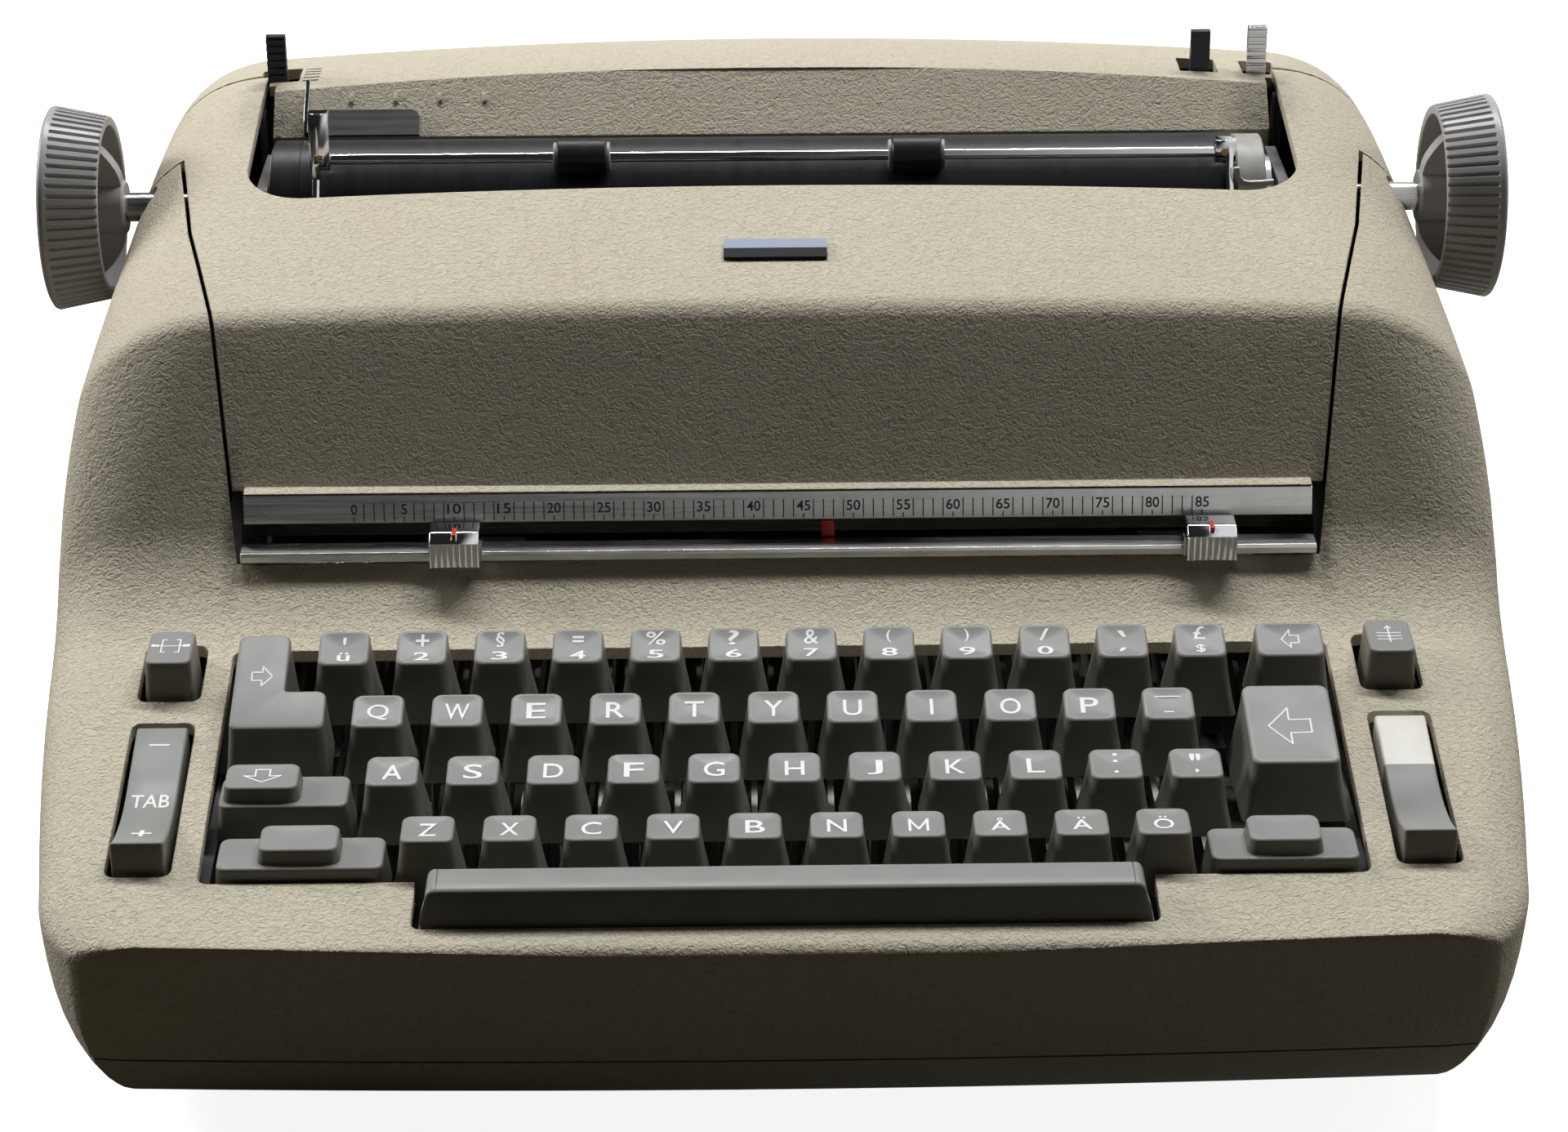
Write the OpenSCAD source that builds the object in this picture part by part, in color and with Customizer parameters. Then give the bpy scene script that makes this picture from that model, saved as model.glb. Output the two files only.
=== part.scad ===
// Electric typewriter with a single printing element and a fixed platen.
// X runs to the right, Y to the back and Z up. The origin is on the desk, under the middle of the machine.

/* [Case] */
// Half of the case's width at its widest
case_half_w = 185.2; // [184.5:0.1:187]
// Depth of the case from the front crease to the back wall
case_depth = 374; // [372:1:380]
// Thickness of the case's walls
wall = 3; // [2.5:0.1:3.2]
// Height of the case's underside above the desk
base_z = 10; // [9:0.5:11]
// Height of the joint between the base and the main case
seam_z = 26; // [24:0.5:28]
// Gap at the joint between the base and the main case
seam_gap = 0.6; // [0.4:0.1:1]
// How far the sides lean in at the height of the crest
side_lean = 11.5; // [9:0.5:13]
// Length of the front corners' curve, front to back
front_corner_l = 26; // [20:1:32]
// Width of the front corners' curve
front_corner_w = 16; // [12:1:18]
// Radius of the back corners in plan
rear_corner_r = 35; // [30:1:42]

/* [Side profile] */
// Height of the keyboard deck at the front crease
deck_front_z = 58.7; // [57.5:0.1:59.5]
// Slope of the keyboard deck in degrees
deck_angle = 12.6; // [12:0.1:13]
// Slope of the steep front face above the writing scale in degrees
face_angle = 59; // [58:0.5:60]
// Radius of the concave sweep from the deck to the steep face
sweep_r = 47.5; // [45:0.5:50]
// Height of the crest above the steep face
crest_z = 151.1; // [150:0.1:153]
// Place of the crest, front to back
crest_y = -23.7; // [-25:0.1:-22.5]
// Slope of the top behind the crest in degrees
top_angle = 11.5; // [11:0.1:12]
// Radius of the crown over the back of the machine
crown_r = 110; // [104:1:116]
// Radius of the roll down to the back wall
back_r = 60; // [57:0.5:61]

/* [Lid and paper slot] */
// Half of the lid's width at the writing scale
lid_front_x = 136.5; // [136.2:0.1:137.5]
// Half of the lid's width at the crest
lid_crest_x = 143.8; // [143:0.1:145]
// Half of the lid's width in front of its ears
lid_rear_x = 163; // [162:0.5:164]
// Gap around the lid
lid_gap = 1; // [0.8:0.1:1.2]
// Height of the lid's lower front edge
lid_front_z = 110.4; // [110.3:0.1:111]
// Half of the paper slot's width
slot_half_x = 143; // [142.8:0.1:143.4]
// Front edge of the paper slot
slot_front_y = 32.4; // [31:0.1:33]
// Radius of the paper slot's front corners
slot_corner_r = 17; // [14:0.5:20]
// Hinge axis of the lid, front to back
hinge_y = 98; // [97.5:0.1:98.5]
// Height of the lid's hinge axis
hinge_z = 161.5; // [161:0.1:162]
// Radius of the lid's ears about the hinge axis
ear_r = 31.2; // [30:0.1:31.4]
// Radius of the rolled rear edge of the lid about the hinge axis
knuckle_r = 10.5; // [10.3:0.1:10.8]
// Radius of the lid's hinge pins
hinge_pin_r = 1.8; // [1.6:0.1:2]

/* [Platen and paper path] */
// Platen axis, front to back
platen_y = 63; // [62.8:0.1:63.4]
// Height of the platen axis
platen_z = 146.6; // [146.2:0.1:147]
// Radius of the platen
platen_r = 18; // [17.8:0.05:18.1]
// Half of the platen's length
platen_half_len = 135; // [133:0.5:136]
// Radius of the platen shaft
platen_shaft_r = 4; // [3.5:0.1:4.2]
// Distance from the case's widest part to the outer face of a platen knob
knob_out = 14.1; // [13:0.1:16]
// Radius of a platen knob at its outer face
knob_r = 28.2; // [27.5:0.1:29]
// Width of a platen knob's ribbed ring
knob_w = 16; // [14:0.5:18]
// Number of grooves round a platen knob
knob_grooves = 60; // [40:1:72]
// Radius of a feed roller
feed_roller_r = 6; // [5.6:0.1:6.3]
// Radius of the shafts under the platen
feed_shaft_r = 2.5; // [2:0.1:2.8]
// Radius of the paper bail's rod
bail_rod_r = 1.5; // [1.2:0.1:1.8]
// Radius of the paper bail's rollers
bail_roller_r = 5.1; // [4.8:0.1:5.1]
// Length of a paper bail roller
bail_roller_len = 15.3; // [12:0.1:18]
// Height of the paper bail's pivot
bail_pivot_z = 118; // [117.6:0.1:118.2]

/* [Keyboard] */
// Distance between two keys of a row
key_pitch = 19.05; // [18.95:0.01:19.1]
// Place of the first number key, left to right
first_key_x = -106.9; // [-107.1:0.1:-106.7]
// Place of the number row, front to back
number_row_y = -98; // [-98.5:0.1:-97.5]
// Height of the number row's key tops
number_row_z = 90.3; // [89.5:0.1:91]
// Drop of the key tops from one row to the next
row_drop = 5.8; // [5.6:0.1:5.9]
// Width of a key's top
key_top_w = 12.4; // [11.5:0.1:13]
// Width of a key at its lower edge
key_skirt_w = 17; // [16:0.1:17.6]
// Height of a key cap
key_cap_h = 15; // [13:0.5:16]
// Thickness of a key lever
lever_t = 1.5; // [1.2:0.05:1.6]
// Height of a key lever's section
lever_h = 10; // [8:0.5:10.5]
// Height of the lower edge of the key levers
lever_z = 40; // [39:0.5:41]
// Radius of the rod that the key levers turn on
fulcrum_r = 3; // [2.6:0.1:3.4]
// Place of the fulcrum rod, front to back
fulcrum_y = 40; // [38:0.5:42]
// Half of the keyboard opening's width
deck_open_x = 136.4; // [136:0.1:136.8]
// Half of the space bar opening's width
space_open_x = 85.8; // [85.4:0.1:86.5]
// Half of the space bar's length at its lower edge
space_bar_x = 84.6; // [83:0.1:85]

/* [Scale and margins] */
// Distance between two marks of the writing scale
scale_pitch = 2.54; // [2.5:0.01:2.6]
// Number of characters on the writing scale
scale_count = 85; // [80:1:88]
// Front edge of the margin rail
rail_front_y = -59.8; // [-60:0.1:-59.7]
// Depth of the margin rail
rail_d = 6.6; // [6:0.1:6.8]
// Height of the margin rail's top
rail_top_z = 98.3; // [98:0.1:98.5]
// Thickness of the margin rail
rail_t = 2.3; // [2:0.1:2.4]
// Front face of the writing scale
scale_front_y = -52.2; // [-52.4:0.1:-52]
// Width of a margin stop
stop_w = 12.5; // [11:0.1:14]
// Scale value at the left margin stop
left_stop_at = 10; // [8:1:14]
// Scale value at the right margin stop
right_stop_at = 85; // [80:1:86]

/* [Machine] */
// Half of the distance between the power frame's side plates
plate_in_x = 138; // [137.8:0.1:138.4]
// Thickness of the power frame's side plates
plate_t = 3; // [2.8:0.1:3.2]
// Place of the carrier, left to right
carrier_x = 12.5; // [10:0.5:15]
// Half of the carrier's width
carrier_half_w = 26; // [24:0.5:26.5]
// Radius of the print shaft
print_shaft_r = 6; // [5:0.1:6.5]
// Place of the print shaft, front to back
print_shaft_y = 8; // [7:0.5:9]
// Height of the print shaft
print_shaft_z = 104; // [103.5:0.1:104.5]
// Radius of the typing element
element_r = 17.4; // [16.5:0.1:17.5]
// Height of the typing element's middle
element_z = 141; // [140.5:0.1:141.5]
// Radius of the motor
motor_r = 38; // [34:0.5:40]
// Length of the motor
motor_len = 90; // [80:1:100]
// Place of the motor, front to back
motor_y = 118; // [116:1:124]
// Height of the motor's axis
motor_z = 60; // [58:0.5:62]
// Radius of the motor's pulley
pulley_r = 10; // [8:0.5:12]
// Radius of the drive hub
hub_r = 28; // [24:0.5:30]
// Width of the drive belt
belt_w = 6; // [5:0.5:7]
// Thickness of the drive belt
belt_t = 2; // [1.5:0.1:2.5]
// Radial clearance of a running fit
running = 0.05; // [0.03:0.01:0.08]

/* [Hidden] */

paint = [0.74, 0.71, 0.62];
key_grey = [0.58, 0.59, 0.59];
front_y = -case_depth / 2;
back_y = case_depth / 2;
widest_z = 85;
undercut_z = 54;
front_undercut = 16.5;
rear_undercut = 14;
far = 60;

// The side wall: its lean, its taper in plan, the rounded corners and the undercut near the desk
function lean(z) = case_half_w - (z > widest_z ? side_lean * pow((z - widest_z) / 66, 2)
    : 13 * pow((widest_z - z) / 75, 4));
function taper(y) = y < -20 ? 10 * pow((-20 - y) / 135, 2) : y > far ? 4.7 * pow((y - far) / 127, 2) : 0;
function corner(d, l, w) = d >= l ? 0 : w * (1 - sqrt(max(0, 1 - pow((l - d) / l, 2))));
function low(z) = max(0, undercut_z - z) / (undercut_z - base_z);
function undercut(z, depth) = depth * pow(low(z), 3);
function front_at(z) = front_y + undercut(z, front_undercut);
function back_at(z) = back_y - undercut(z, rear_undercut);
function half_w(y, z, t) =
    let (df = y - front_at(z) - t, db = back_at(z) - t - y)
    min(lean(z) - t - taper(y) - corner(df, front_corner_l, front_corner_w) * (1 - 0.45 * low(z))
            - corner(db, rear_corner_r, rear_corner_r),
        150 * sqrt(max(0.02, df) / 3));

// The profile over the middle of the machine, from the front crease to the back wall
function deck_z(y) = deck_front_z + tan(deck_angle) * (y - front_y);
function face_z(y) = crest_z + tan(face_angle) * (y - crest_y);
function top_z(y) = crest_z + tan(top_angle) * (y - crest_y);
function arc_pts(cy, cz, r, a0, a1, n) =
    [for (i = [0 : n]) let (a = a0 + (a1 - a0) * i / n) [cy + r * cos(a), cz + r * sin(a)]];
crease_r = 4;
crease_cy = front_y + crease_r;
crease_cz = deck_front_z - crease_r / cos(deck_angle) + tan(deck_angle) * crease_r;
function front_z(y) = y < crease_cy - crease_r * sin(deck_angle)
    ? crease_cz + sqrt(max(0, crease_r * crease_r - pow(y - crease_cy, 2))) : deck_z(y);
sweep_meet_y = (crest_z - deck_front_z - tan(face_angle) * crest_y + tan(deck_angle) * front_y)
    / (tan(deck_angle) - tan(face_angle));
sweep_tan = sweep_r * tan((face_angle - deck_angle) / 2);
sweep_y0 = sweep_meet_y - sweep_tan * cos(deck_angle);
sweep_cy = sweep_y0 - sweep_r * sin(deck_angle);
sweep_cz = deck_z(sweep_y0) + sweep_r * cos(deck_angle);
crest_r = 9;
crest_tan = crest_r * tan((face_angle - top_angle) / 2);
crest_cy = crest_y + crest_tan * cos(top_angle) + crest_r * sin(top_angle);
crest_cz = crest_z + crest_tan * sin(top_angle) - crest_r * cos(top_angle);
crown_y = 82.8;
crown_cy = crown_y + crown_r * sin(top_angle);
crown_cz = top_z(crown_y) - crown_r * cos(top_angle);
crown_end = 70;
back_cy = crown_cy + (crown_r - back_r) * cos(crown_end);
back_cz = crown_cz + (crown_r - back_r) * sin(crown_end);
back_arc = arc_pts(back_cy, back_cz, back_r, crown_end, 10, 5);
back_foot = [back_y, back_arc[5].y - 34];
profile = concat(
    [for (d = [0, 0.3, 1, 2, 3.4, 5.5, 8, 12, 16, 21, 26, 36, 76]) [front_y + d, front_z(front_y + d)]],
    arc_pts(sweep_cy, sweep_cz, sweep_r, deck_angle - 90, face_angle - 90, 6),
    arc_pts(crest_cy, crest_cz, crest_r, 90 + face_angle, 90 + top_angle, 4),
    [for (y = [20, 60]) [y, top_z(y)]],
    arc_pts(crown_cy, crown_cz, crown_r, 90 + top_angle, crown_end, 4),
    [for (i = [1 : 5]) back_arc[i]],
    [for (k = [0.5, 0.9]) back_arc[5] * (1 - k) + back_foot * k],
    [back_foot]);
last = len(profile) - 1;
function along(i) = profile[min(i + 1, last)] - profile[max(i - 1, 0)];
function inset_pt(i, t) = i == 0 ? profile[0] + [t, 0] : i == last ? profile[last] - [t, 0]
    : let (d = along(i) / norm(along(i))) profile[i] + t * [d.y, -d.x];

// Rounded shoulders, larger on the cover than on the deck
function rise(z) = min(1, max(0, (z - deck_z(sweep_y0)) / (crest_z - deck_z(sweep_y0))));
function crown_drop(x, y, z) = (2.6 * rise(z) + 0.019 * max(0, y)) * pow(x / slot_half_x, 2);
function half_ring(p, t) =
    let (f = rise(p.y), g = min(1, max(0, p.x - 90) / 50),
        b = min(10 + 20 * f - 6 * g, (p.y - undercut_z) * 0.8),
        a = min(14 + 26 * f - 8 * f * g - t, half_w(p.x, p.y - b, t) * 0.5),
        xe = half_w(p.x, p.y - b, t) - a, zs = p.y - crown_drop(xe, p.x, p.y) - b)
    concat(
        [for (k = [0 : 4]) let (z = undercut_z + (zs - undercut_z) * k / 5) [half_w(p.x, z, t), z]],
        [for (k = [0 : 5]) [xe + a * cos(18 * k), zs + b * sin(18 * k)]],
        [[xe * 0.55, p.y - crown_drop(xe * 0.55, p.x, p.y)], [0, p.y]]);
function full_ring(p, t) =
    let (h = half_ring(p, t), n = len(h))
    concat([for (k = [0 : n - 2]) [-h[k].x, p.x, h[k].y]],
        [for (k = [n - 1 : -1 : 0]) [h[k].x, p.x, h[k].y]]);

// Level rings below the undercut's top, right side first and front to back
function low_y(y, z, t) = y + undercut(z, front_undercut) * max(0, 1 - (y - front_y - t) / 60)
    - undercut(z, rear_undercut) * max(0, 1 - (back_y - t - y) / 60);
function low_ring(ys, z, t) =
    concat([for (y = ys) let (v = low_y(y, z, t)) [half_w(v, z, t), v, z]],
        [for (i = [last : -1 : 0]) let (v = low_y(ys[i], z, t)) [-half_w(v, z, t), v, z]]);
low_steps = [0, 0.08, 0.2, 0.36, 0.56, 0.78];

// The body of the case, as a closed solid that is t inside the outer surface
function quads(a, b, c, d) = [[a, b, c], [c, b, d]];
module case_body(t) {
    z0 = base_z + t;
    stations = [for (i = [0 : last]) inset_pt(i, t)];
    ys = [for (p = stations) p.x];
    low_rings = [for (k = low_steps) low_ring(ys, z0 + (undercut_z - z0) * k, t)];
    rings = [for (p = stations) full_ring(p, t)];
    m = len(rings[0]);
    n = 2 * (last + 1);
    lows = len(low_rings);
    start = n * lows;
    rim = concat([for (i = [0 : last]) start + i * m + m - 1], [for (i = [last : -1 : 0]) start + i * m]);
    loops = concat([for (k = [0 : lows - 1]) [for (j = [0 : n - 1]) k * n + j]], [rim]);
    low_faces = [for (k = [0 : lows - 1], j = [0 : n - 1])
        each quads(loops[k][j], loops[k + 1][j], loops[k][(j + 1) % n], loops[k + 1][(j + 1) % n])];
    top_faces = [for (i = [0 : last - 1], j = [0 : m - 2])
        let (a = start + i * m + j, b = start + (i + 1) * m + j) each quads(a, b, a + 1, b + 1)];
    caps = [[for (j = [0 : n - 1]) j], [for (j = [0 : m - 1]) start + j],
        [for (j = [m - 1 : -1 : 0]) start + last * m + j]];
    polyhedron(points = [for (r = concat(low_rings, rings), p = r) p],
        faces = concat(low_faces, top_faces, caps), convexity = 8);
}

// Pieces of one sub-part that are screwed or pressed together are drawn with this gap
joint_gap = 0.05;

// A vertical prism with rounded corners, and rods and boxes along X
module round_prism(x0, x1, y0, y1, z0, z1, r) {
    hull() {
        for (x = [x0 + r, x1 - r], y = [y0 + r, y1 - r])
            translate([x, y, z0]) cylinder(r = r, h = z1 - z0, $fn = 20);
    }
}
module rod_x(x0, x1, y, z, r, fn = 48) {
    translate([x0, y, z]) rotate([0, 90, 0]) cylinder(r = r, h = x1 - x0, $fn = fn);
}
module box(x0, x1, y0, y1, z0, z1) {
    translate([x0, y0, z0]) cube([x1 - x0, y1 - y0, z1 - z0]);
}
module side_x(x0, x1, outline) {
    translate([x0, 0, 0]) rotate([90, 0, 90]) linear_extrude(height = x1 - x0) polygon(outline);
}
module both_sides() {
    children();
    mirror([1, 0, 0]) children();
}

// The space that the lid takes up, grown by g all round
ear_y = hinge_y - ear_r;
lid_side_y = 20;
lid_side_x = lid_crest_x + 0.58 * (lid_rear_x - lid_crest_x);
module lid_zone(g, y_back) {
    outline = [[lid_front_x, rail_front_y + 1.3], [lid_crest_x, crest_y - 2], [lid_side_x, lid_side_y],
        [lid_rear_x, ear_y - g], [lid_rear_x, y_back]];
    translate([0, 0, 60]) linear_extrude(height = 140)
        polygon(concat([for (p = outline) p + [g, 0]],
            [for (k = [4 : -1 : 0]) [-outline[k].x - g, outline[k].y]]));
    both_sides() {
        rod_x(slot_half_x - g, 200, hinge_y, hinge_z, knuckle_r + g, 64);
        intersection() {
            rod_x(slot_half_x - g, 200, hinge_y, hinge_z, ear_r + g, 96);
            box(slot_half_x - g, 200, 0, hinge_y + g, 0, 200);
        }
    }
}

lip_y = 96;
lip_foot = [81.5, 160];
lip_tail = [83.5, 147];
lip_x = slot_half_x - 3;
lip_top = crown_cz + sqrt(crown_r * crown_r - pow(lip_y - crown_cy, 2)) - 0.5;
lever_slot_y = [98.6, 110.6];
copy_lever_x = -140;
space_lever_x = 121.9;
release_lever_x = 138;
lever_w = 5.4;
module lever_slot(x, more_left, more_right) {
    round_prism(x - lever_w / 2 - more_left, x + lever_w / 2 + more_right, lever_slot_y[0], lever_slot_y[1],
        120, 200, 0.6);
}
deck_back_y = sweep_y0 + 0.5;
shift_edge_y = -163.7;
space_edge_y = -179;
side_hole = [142.7, 158.3];
small_hole = [-100.4, -79.6];
rocker_hole = [-161.2, -108.2];
inlet_x = 105;
inlet_z = 58;

module main_case() {
    color(paint) {
        difference() {
            case_body(0);
            case_body(wall);
            box(-far * 4, far * 4, -far * 4, far * 4, 0, seam_z + seam_gap);
            lid_zone(lid_gap, lip_y);
            round_prism(-deck_open_x, deck_open_x, shift_edge_y, deck_back_y, 30, 120, 2.5);
            round_prism(-space_open_x, space_open_x, space_edge_y, shift_edge_y + 6, 30, 120, 2);
            for (s = [-1, 1]) {
                hull_x = [min(s * side_hole[0], s * side_hole[1]), max(s * side_hole[0], s * side_hole[1])];
                round_prism(hull_x[0], hull_x[1], small_hole[0], small_hole[1], 30, 120, 2.5);
                round_prism(hull_x[0], hull_x[1], rocker_hole[0], rocker_hole[1], 30, 120, 2.5);
            }
            lever_slot(copy_lever_x, 2.4, 3.4);
            lever_slot(space_lever_x, 3, 2.4);
            lever_slot(release_lever_x, 1.2, 3);
            both_sides() rod_x(150, 200, platen_y, platen_z, platen_shaft_r + 1.5, 32);
            box(inlet_x - 14, inlet_x + 14, back_y - 20, back_y + 10, inlet_z - 10, inlet_z + 10);
        }
        intersection() {
            case_body(0);
            side_x(-lip_x, lip_x, [[lip_y, 190], [lip_y, lip_top], lip_foot, lip_tail, lip_tail + [wall, 0],
                lip_foot + [wall, -0.8], [lip_y + 2.4, lip_top - 2], [lip_y + 2.4, 190]]);
        }
    }
}

module top_cover() {
    color(paint) {
        difference() {
            intersection() {
                difference() {
                    case_body(0);
                    case_body(wall);
                }
                lid_zone(0, hinge_y);
            }
            box(-far * 4, far * 4, -far * 4, 0, 0, lid_front_z);
            round_prism(-slot_half_x, slot_half_x, slot_front_y, hinge_y + 70, 100, 210, slot_corner_r);
        }
        for (x = [-120, -80, -40, 0, 40, 80, 120]) lid_rib(x);
    }
}
module lid_rib(x) {
    hull() {
        for (y = [-14, slot_front_y - 6])
            translate([x - 1, y, top_z(y) - wall - 3.2 - crown_drop(x, y, top_z(y))]) cube([2, 2, 3.4]);
    }
}

foot_x = 140;
foot_y = 135;
foot_r = 12;
screw_x = plate_in_x - 8;
screw_y = [-105, 108];
module bottom_case() {
    color(paint) {
        difference() {
            case_body(0);
            case_body(wall);
            box(-far * 4, far * 4, -far * 4, far * 4, seam_z, 250);
            for (k = [0 : 7])
                round_prism(-74 + 20 * k, -66 + 20 * k, 20, 75, 0, base_z + 2 * wall, 3.9);
            both_sides() {
                for (y = screw_y) translate([screw_x, y, 0]) cylinder(r = 2.4, h = 30, $fn = 24);
            }
        }
    }
}

module rubber_feet() {
    color([0.08, 0.08, 0.08]) {
        both_sides() {
            for (y = [-foot_y, foot_y])
                translate([foot_x, y, 0]) cylinder(r1 = foot_r - 2, r2 = foot_r, h = base_z, $fn = 40);
        }
    }
}

module case_screws() {
    color("silver") {
        both_sides() {
            for (y = screw_y)
                translate([screw_x, y, base_z - 2.5]) {
                    cylinder(r = 4.2, h = 2.5, $fn = 32);
                    cylinder(r = 2, h = 2.5 + wall + 6, $fn = 32);
                }
        }
    }
}

module power_inlet() {
    color([0.1, 0.1, 0.1]) {
        difference() {
            union() {
                box(inlet_x - 13.5, inlet_x + 13.5, back_y - 18, back_y - 1, inlet_z - 9.5, inlet_z + 9.5);
                box(inlet_x - 17, inlet_x + 17, back_y - wall - 3.2, back_y - wall - 0.2,
                    inlet_z - 13, inlet_z + 13);
            }
            box(inlet_x - 11, inlet_x + 11, back_y - 15, back_y, inlet_z - 7, inlet_z + 7);
        }
        for (x = [-6, 0, 6]) rod_y(inlet_x + x, back_y - 15, back_y - 4, inlet_z - 2.5, 1.2);
    }
}
module rod_y(x, y0, y1, z, r) {
    translate([x, y0, z]) rotate([-90, 0, 0]) cylinder(r = r, h = y1 - y0, $fn = 24);
}

// The cast power frame: two side plates with their bearings, and bars across
plate_out_x = plate_in_x + plate_t;
plate_z0 = base_z + wall;
pan_r = platen_r + 2;
feed_x = [28, 58, 78, 108];
feed_gap = platen_r + feed_roller_r + 0.15;
feed_dy = feed_gap * sin(20);
feed_dz = -feed_gap * cos(20);
bail_pivot_y = 48;
rear_post_y = 104;
lever_pivot_z = 132;
lever_pin_r = 3;
carrier_rail_y = -24;
carrier_rail_z = 92;
module power_frame() {
    color([0.45, 0.46, 0.47]) {
        both_sides() {
            difference() {
                side_x(plate_in_x, plate_out_x, [[-163, plate_z0], [-168, 26], [-170, 45], [-90, 52],
                    [-62, 82], [-50, 90], [-35, 106], [0, 122], [34, 146], [48, 157], [76, 157],
                    [79, 145], [114, 140], [122, 120], [130, 110], [130, plate_z0]]);
                rod_x(100, 160, print_shaft_y, print_shaft_z, print_shaft_r + running);
                rod_x(100, 160, platen_y, platen_z, platen_shaft_r + running);
                for (s = [-1, 1])
                    rod_x(100, 160, platen_y + s * feed_dy, platen_z + feed_dz, feed_shaft_r + running);
                rod_x(100, 160, bail_pivot_y, bail_pivot_z, feed_shaft_r + running);
                rod_x(100, 160, motor_y, motor_z, 7);
                rod_x(100, 160, fulcrum_y, lever_z + lever_h / 2, fulcrum_r);
            }
            for (y = screw_y) screw_block(y);
        }
        for (y = [-120, -20, 76]) box(-bar_x, bar_x, y - 4, y + 4, plate_z0, plate_z0 + 7);
        box(-bar_x, bar_x, 122, 130, 100, 108);
    }
}

bar_x = plate_in_x - joint_gap;
module screw_block(y) {
    difference() {
        box(plate_in_x - 14, bar_x, y - 8, y + 8, plate_z0, plate_z0 + 8);
        translate([screw_x, y, 0]) cylinder(r = 2 + running, h = 60, $fn = 32);
    }
}

module carrier_rail() {
    color("silver")
        box(-plate_in_x, plate_in_x, carrier_rail_y - 3, carrier_rail_y + 3,
            carrier_rail_z - 4, carrier_rail_z + 4);
}
module escapement_rack() {
    color("silver")
        difference() {
            box(-plate_in_x, plate_in_x, 30, 35, 84, 94);
            for (k = [0 : scale_count])
                translate([(k - scale_count / 2) * scale_pitch, 29, 94]) rotate([0, 45, 0])
                    cube([1.4, 7, 1.4]);
        }
}
module margin_rail() {
    color([0.8, 0.8, 0.8]) {
        side_x(-lid_front_x, lid_front_x, [[rail_front_y, rail_top_z - rail_t],
            [rail_front_y, rail_top_z - 0.7], [rail_front_y + 0.7, rail_top_z],
            [rail_front_y + rail_d, rail_top_z],
            [rail_front_y + rail_d, rail_top_z - rail_t]]);
        both_sides() {
            box(lid_front_x - 3, lid_front_x, rail_front_y + 2.4, rail_front_y + rail_d, 78, rail_top_z - 1);
            box(lid_front_x - 1, plate_in_x, rail_front_y + 2.4, rail_front_y + rail_d, 74, 83);
        }
    }
}

module key_fulcrum_rod() {
    color("silver") rod_x(-160, 160, fulcrum_y, lever_z + lever_h / 2, fulcrum_r);
}

module motor() {
    color([0.3, 0.31, 0.33]) {
        rod_x(-motor_len - 28, -28, motor_y, motor_z, motor_r, 64);
        rod_x(-28, -22, motor_y, motor_z, 14);
        for (x = [-motor_len - 18, -46])
            box(x, x + 8, motor_y - 26, motor_y + 26, plate_z0, motor_z - motor_r + 6);
    }
}
belt_x = -plate_out_x - 5 - belt_w;
module motor_pulley() {
    color("silver")
        rod_x(belt_x - 1, belt_x + belt_w + 1, motor_y, motor_z, pulley_r);
    color("silver") rod_x(belt_x + belt_w + 1, -motor_len - 28.2, motor_y, motor_z, 4);
}
module drive_hub() {
    color("silver")
        difference() {
            rod_x(belt_x - 1, belt_x + belt_w + 1, print_shaft_y, print_shaft_z, hub_r, 64);
            rod_x(belt_x - 9, belt_x + 19, print_shaft_y, print_shaft_z, print_shaft_r);
        }
}
module belt_loop(grow) {
    hull() {
        translate([print_shaft_y, print_shaft_z]) circle(r = hub_r + grow, $fn = 64);
        translate([motor_y, motor_z]) circle(r = pulley_r + grow, $fn = 64);
    }
}
module drive_belt() {
    color([0.1, 0.1, 0.1])
        translate([belt_x, 0, 0]) rotate([90, 0, 90]) linear_extrude(height = belt_w) difference() {
            belt_loop(0.3 + belt_t);
            belt_loop(0.3);
        }
}
module print_shaft() {
    color("silver") rod_x(belt_x - 1, plate_out_x + 2, print_shaft_y, print_shaft_z, print_shaft_r);
}

// The carrier, with the pointer that shows between the scale and the margin rail
carrier_top = 116;
carrier_front_y = carrier_rail_y - 6;
element_y = platen_y - platen_r - 2.2 - element_r;
module carrier() {
    color([0.35, 0.35, 0.36]) {
        difference() {
            box(carrier_x - carrier_half_w, carrier_x + carrier_half_w, carrier_front_y, 35,
                carrier_rail_z + 4.3, carrier_top);
            rod_x(carrier_x - 40, carrier_x + 40, print_shaft_y, print_shaft_z, print_shaft_r + running);
        }
        translate([carrier_x, element_y, carrier_top + joint_gap])
            cylinder(r = 8, h = element_z - 13.2 - carrier_top, $fn = 40);
        side_x(carrier_x - 1.6, carrier_x + 1.6, [[carrier_front_y - joint_gap, 97],
            [carrier_front_y - joint_gap, 101], [-49, 101], [-50.6, 102.7], [-52.3, 102.7], [-52.3, 97]]);
    }
}
module typing_element() {
    color([0.75, 0.76, 0.78])
        translate([carrier_x, element_y, element_z]) {
            rotate_extrude($fn = 64)
                polygon(concat([[0, -13]], [for (a = [-48 : 8 : 32]) element_r * [cos(a), sin(a)]],
                    [[8, 10], [0, 10]]));
            translate([-9, -2, 9]) cube([18, 4, 2.4]);
        }
}
module ribbon_cartridge() {
    color([0.12, 0.12, 0.13])
        translate([carrier_x, 0, carrier_top]) {
            box(-25, 25, -25, 4, 0.3, 3.3);
            rod_x(-25.6, 25.6, -25, 1.8, 1.2, 32);
            for (x = [-13, 13]) translate([x, -11, 3]) cylinder(r = 11.8, h = 12, $fn = 48);
            for (x = [-24.5, 20.5]) box(x, x + 4, -2, 4, 3, 18);
        }
}

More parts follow.
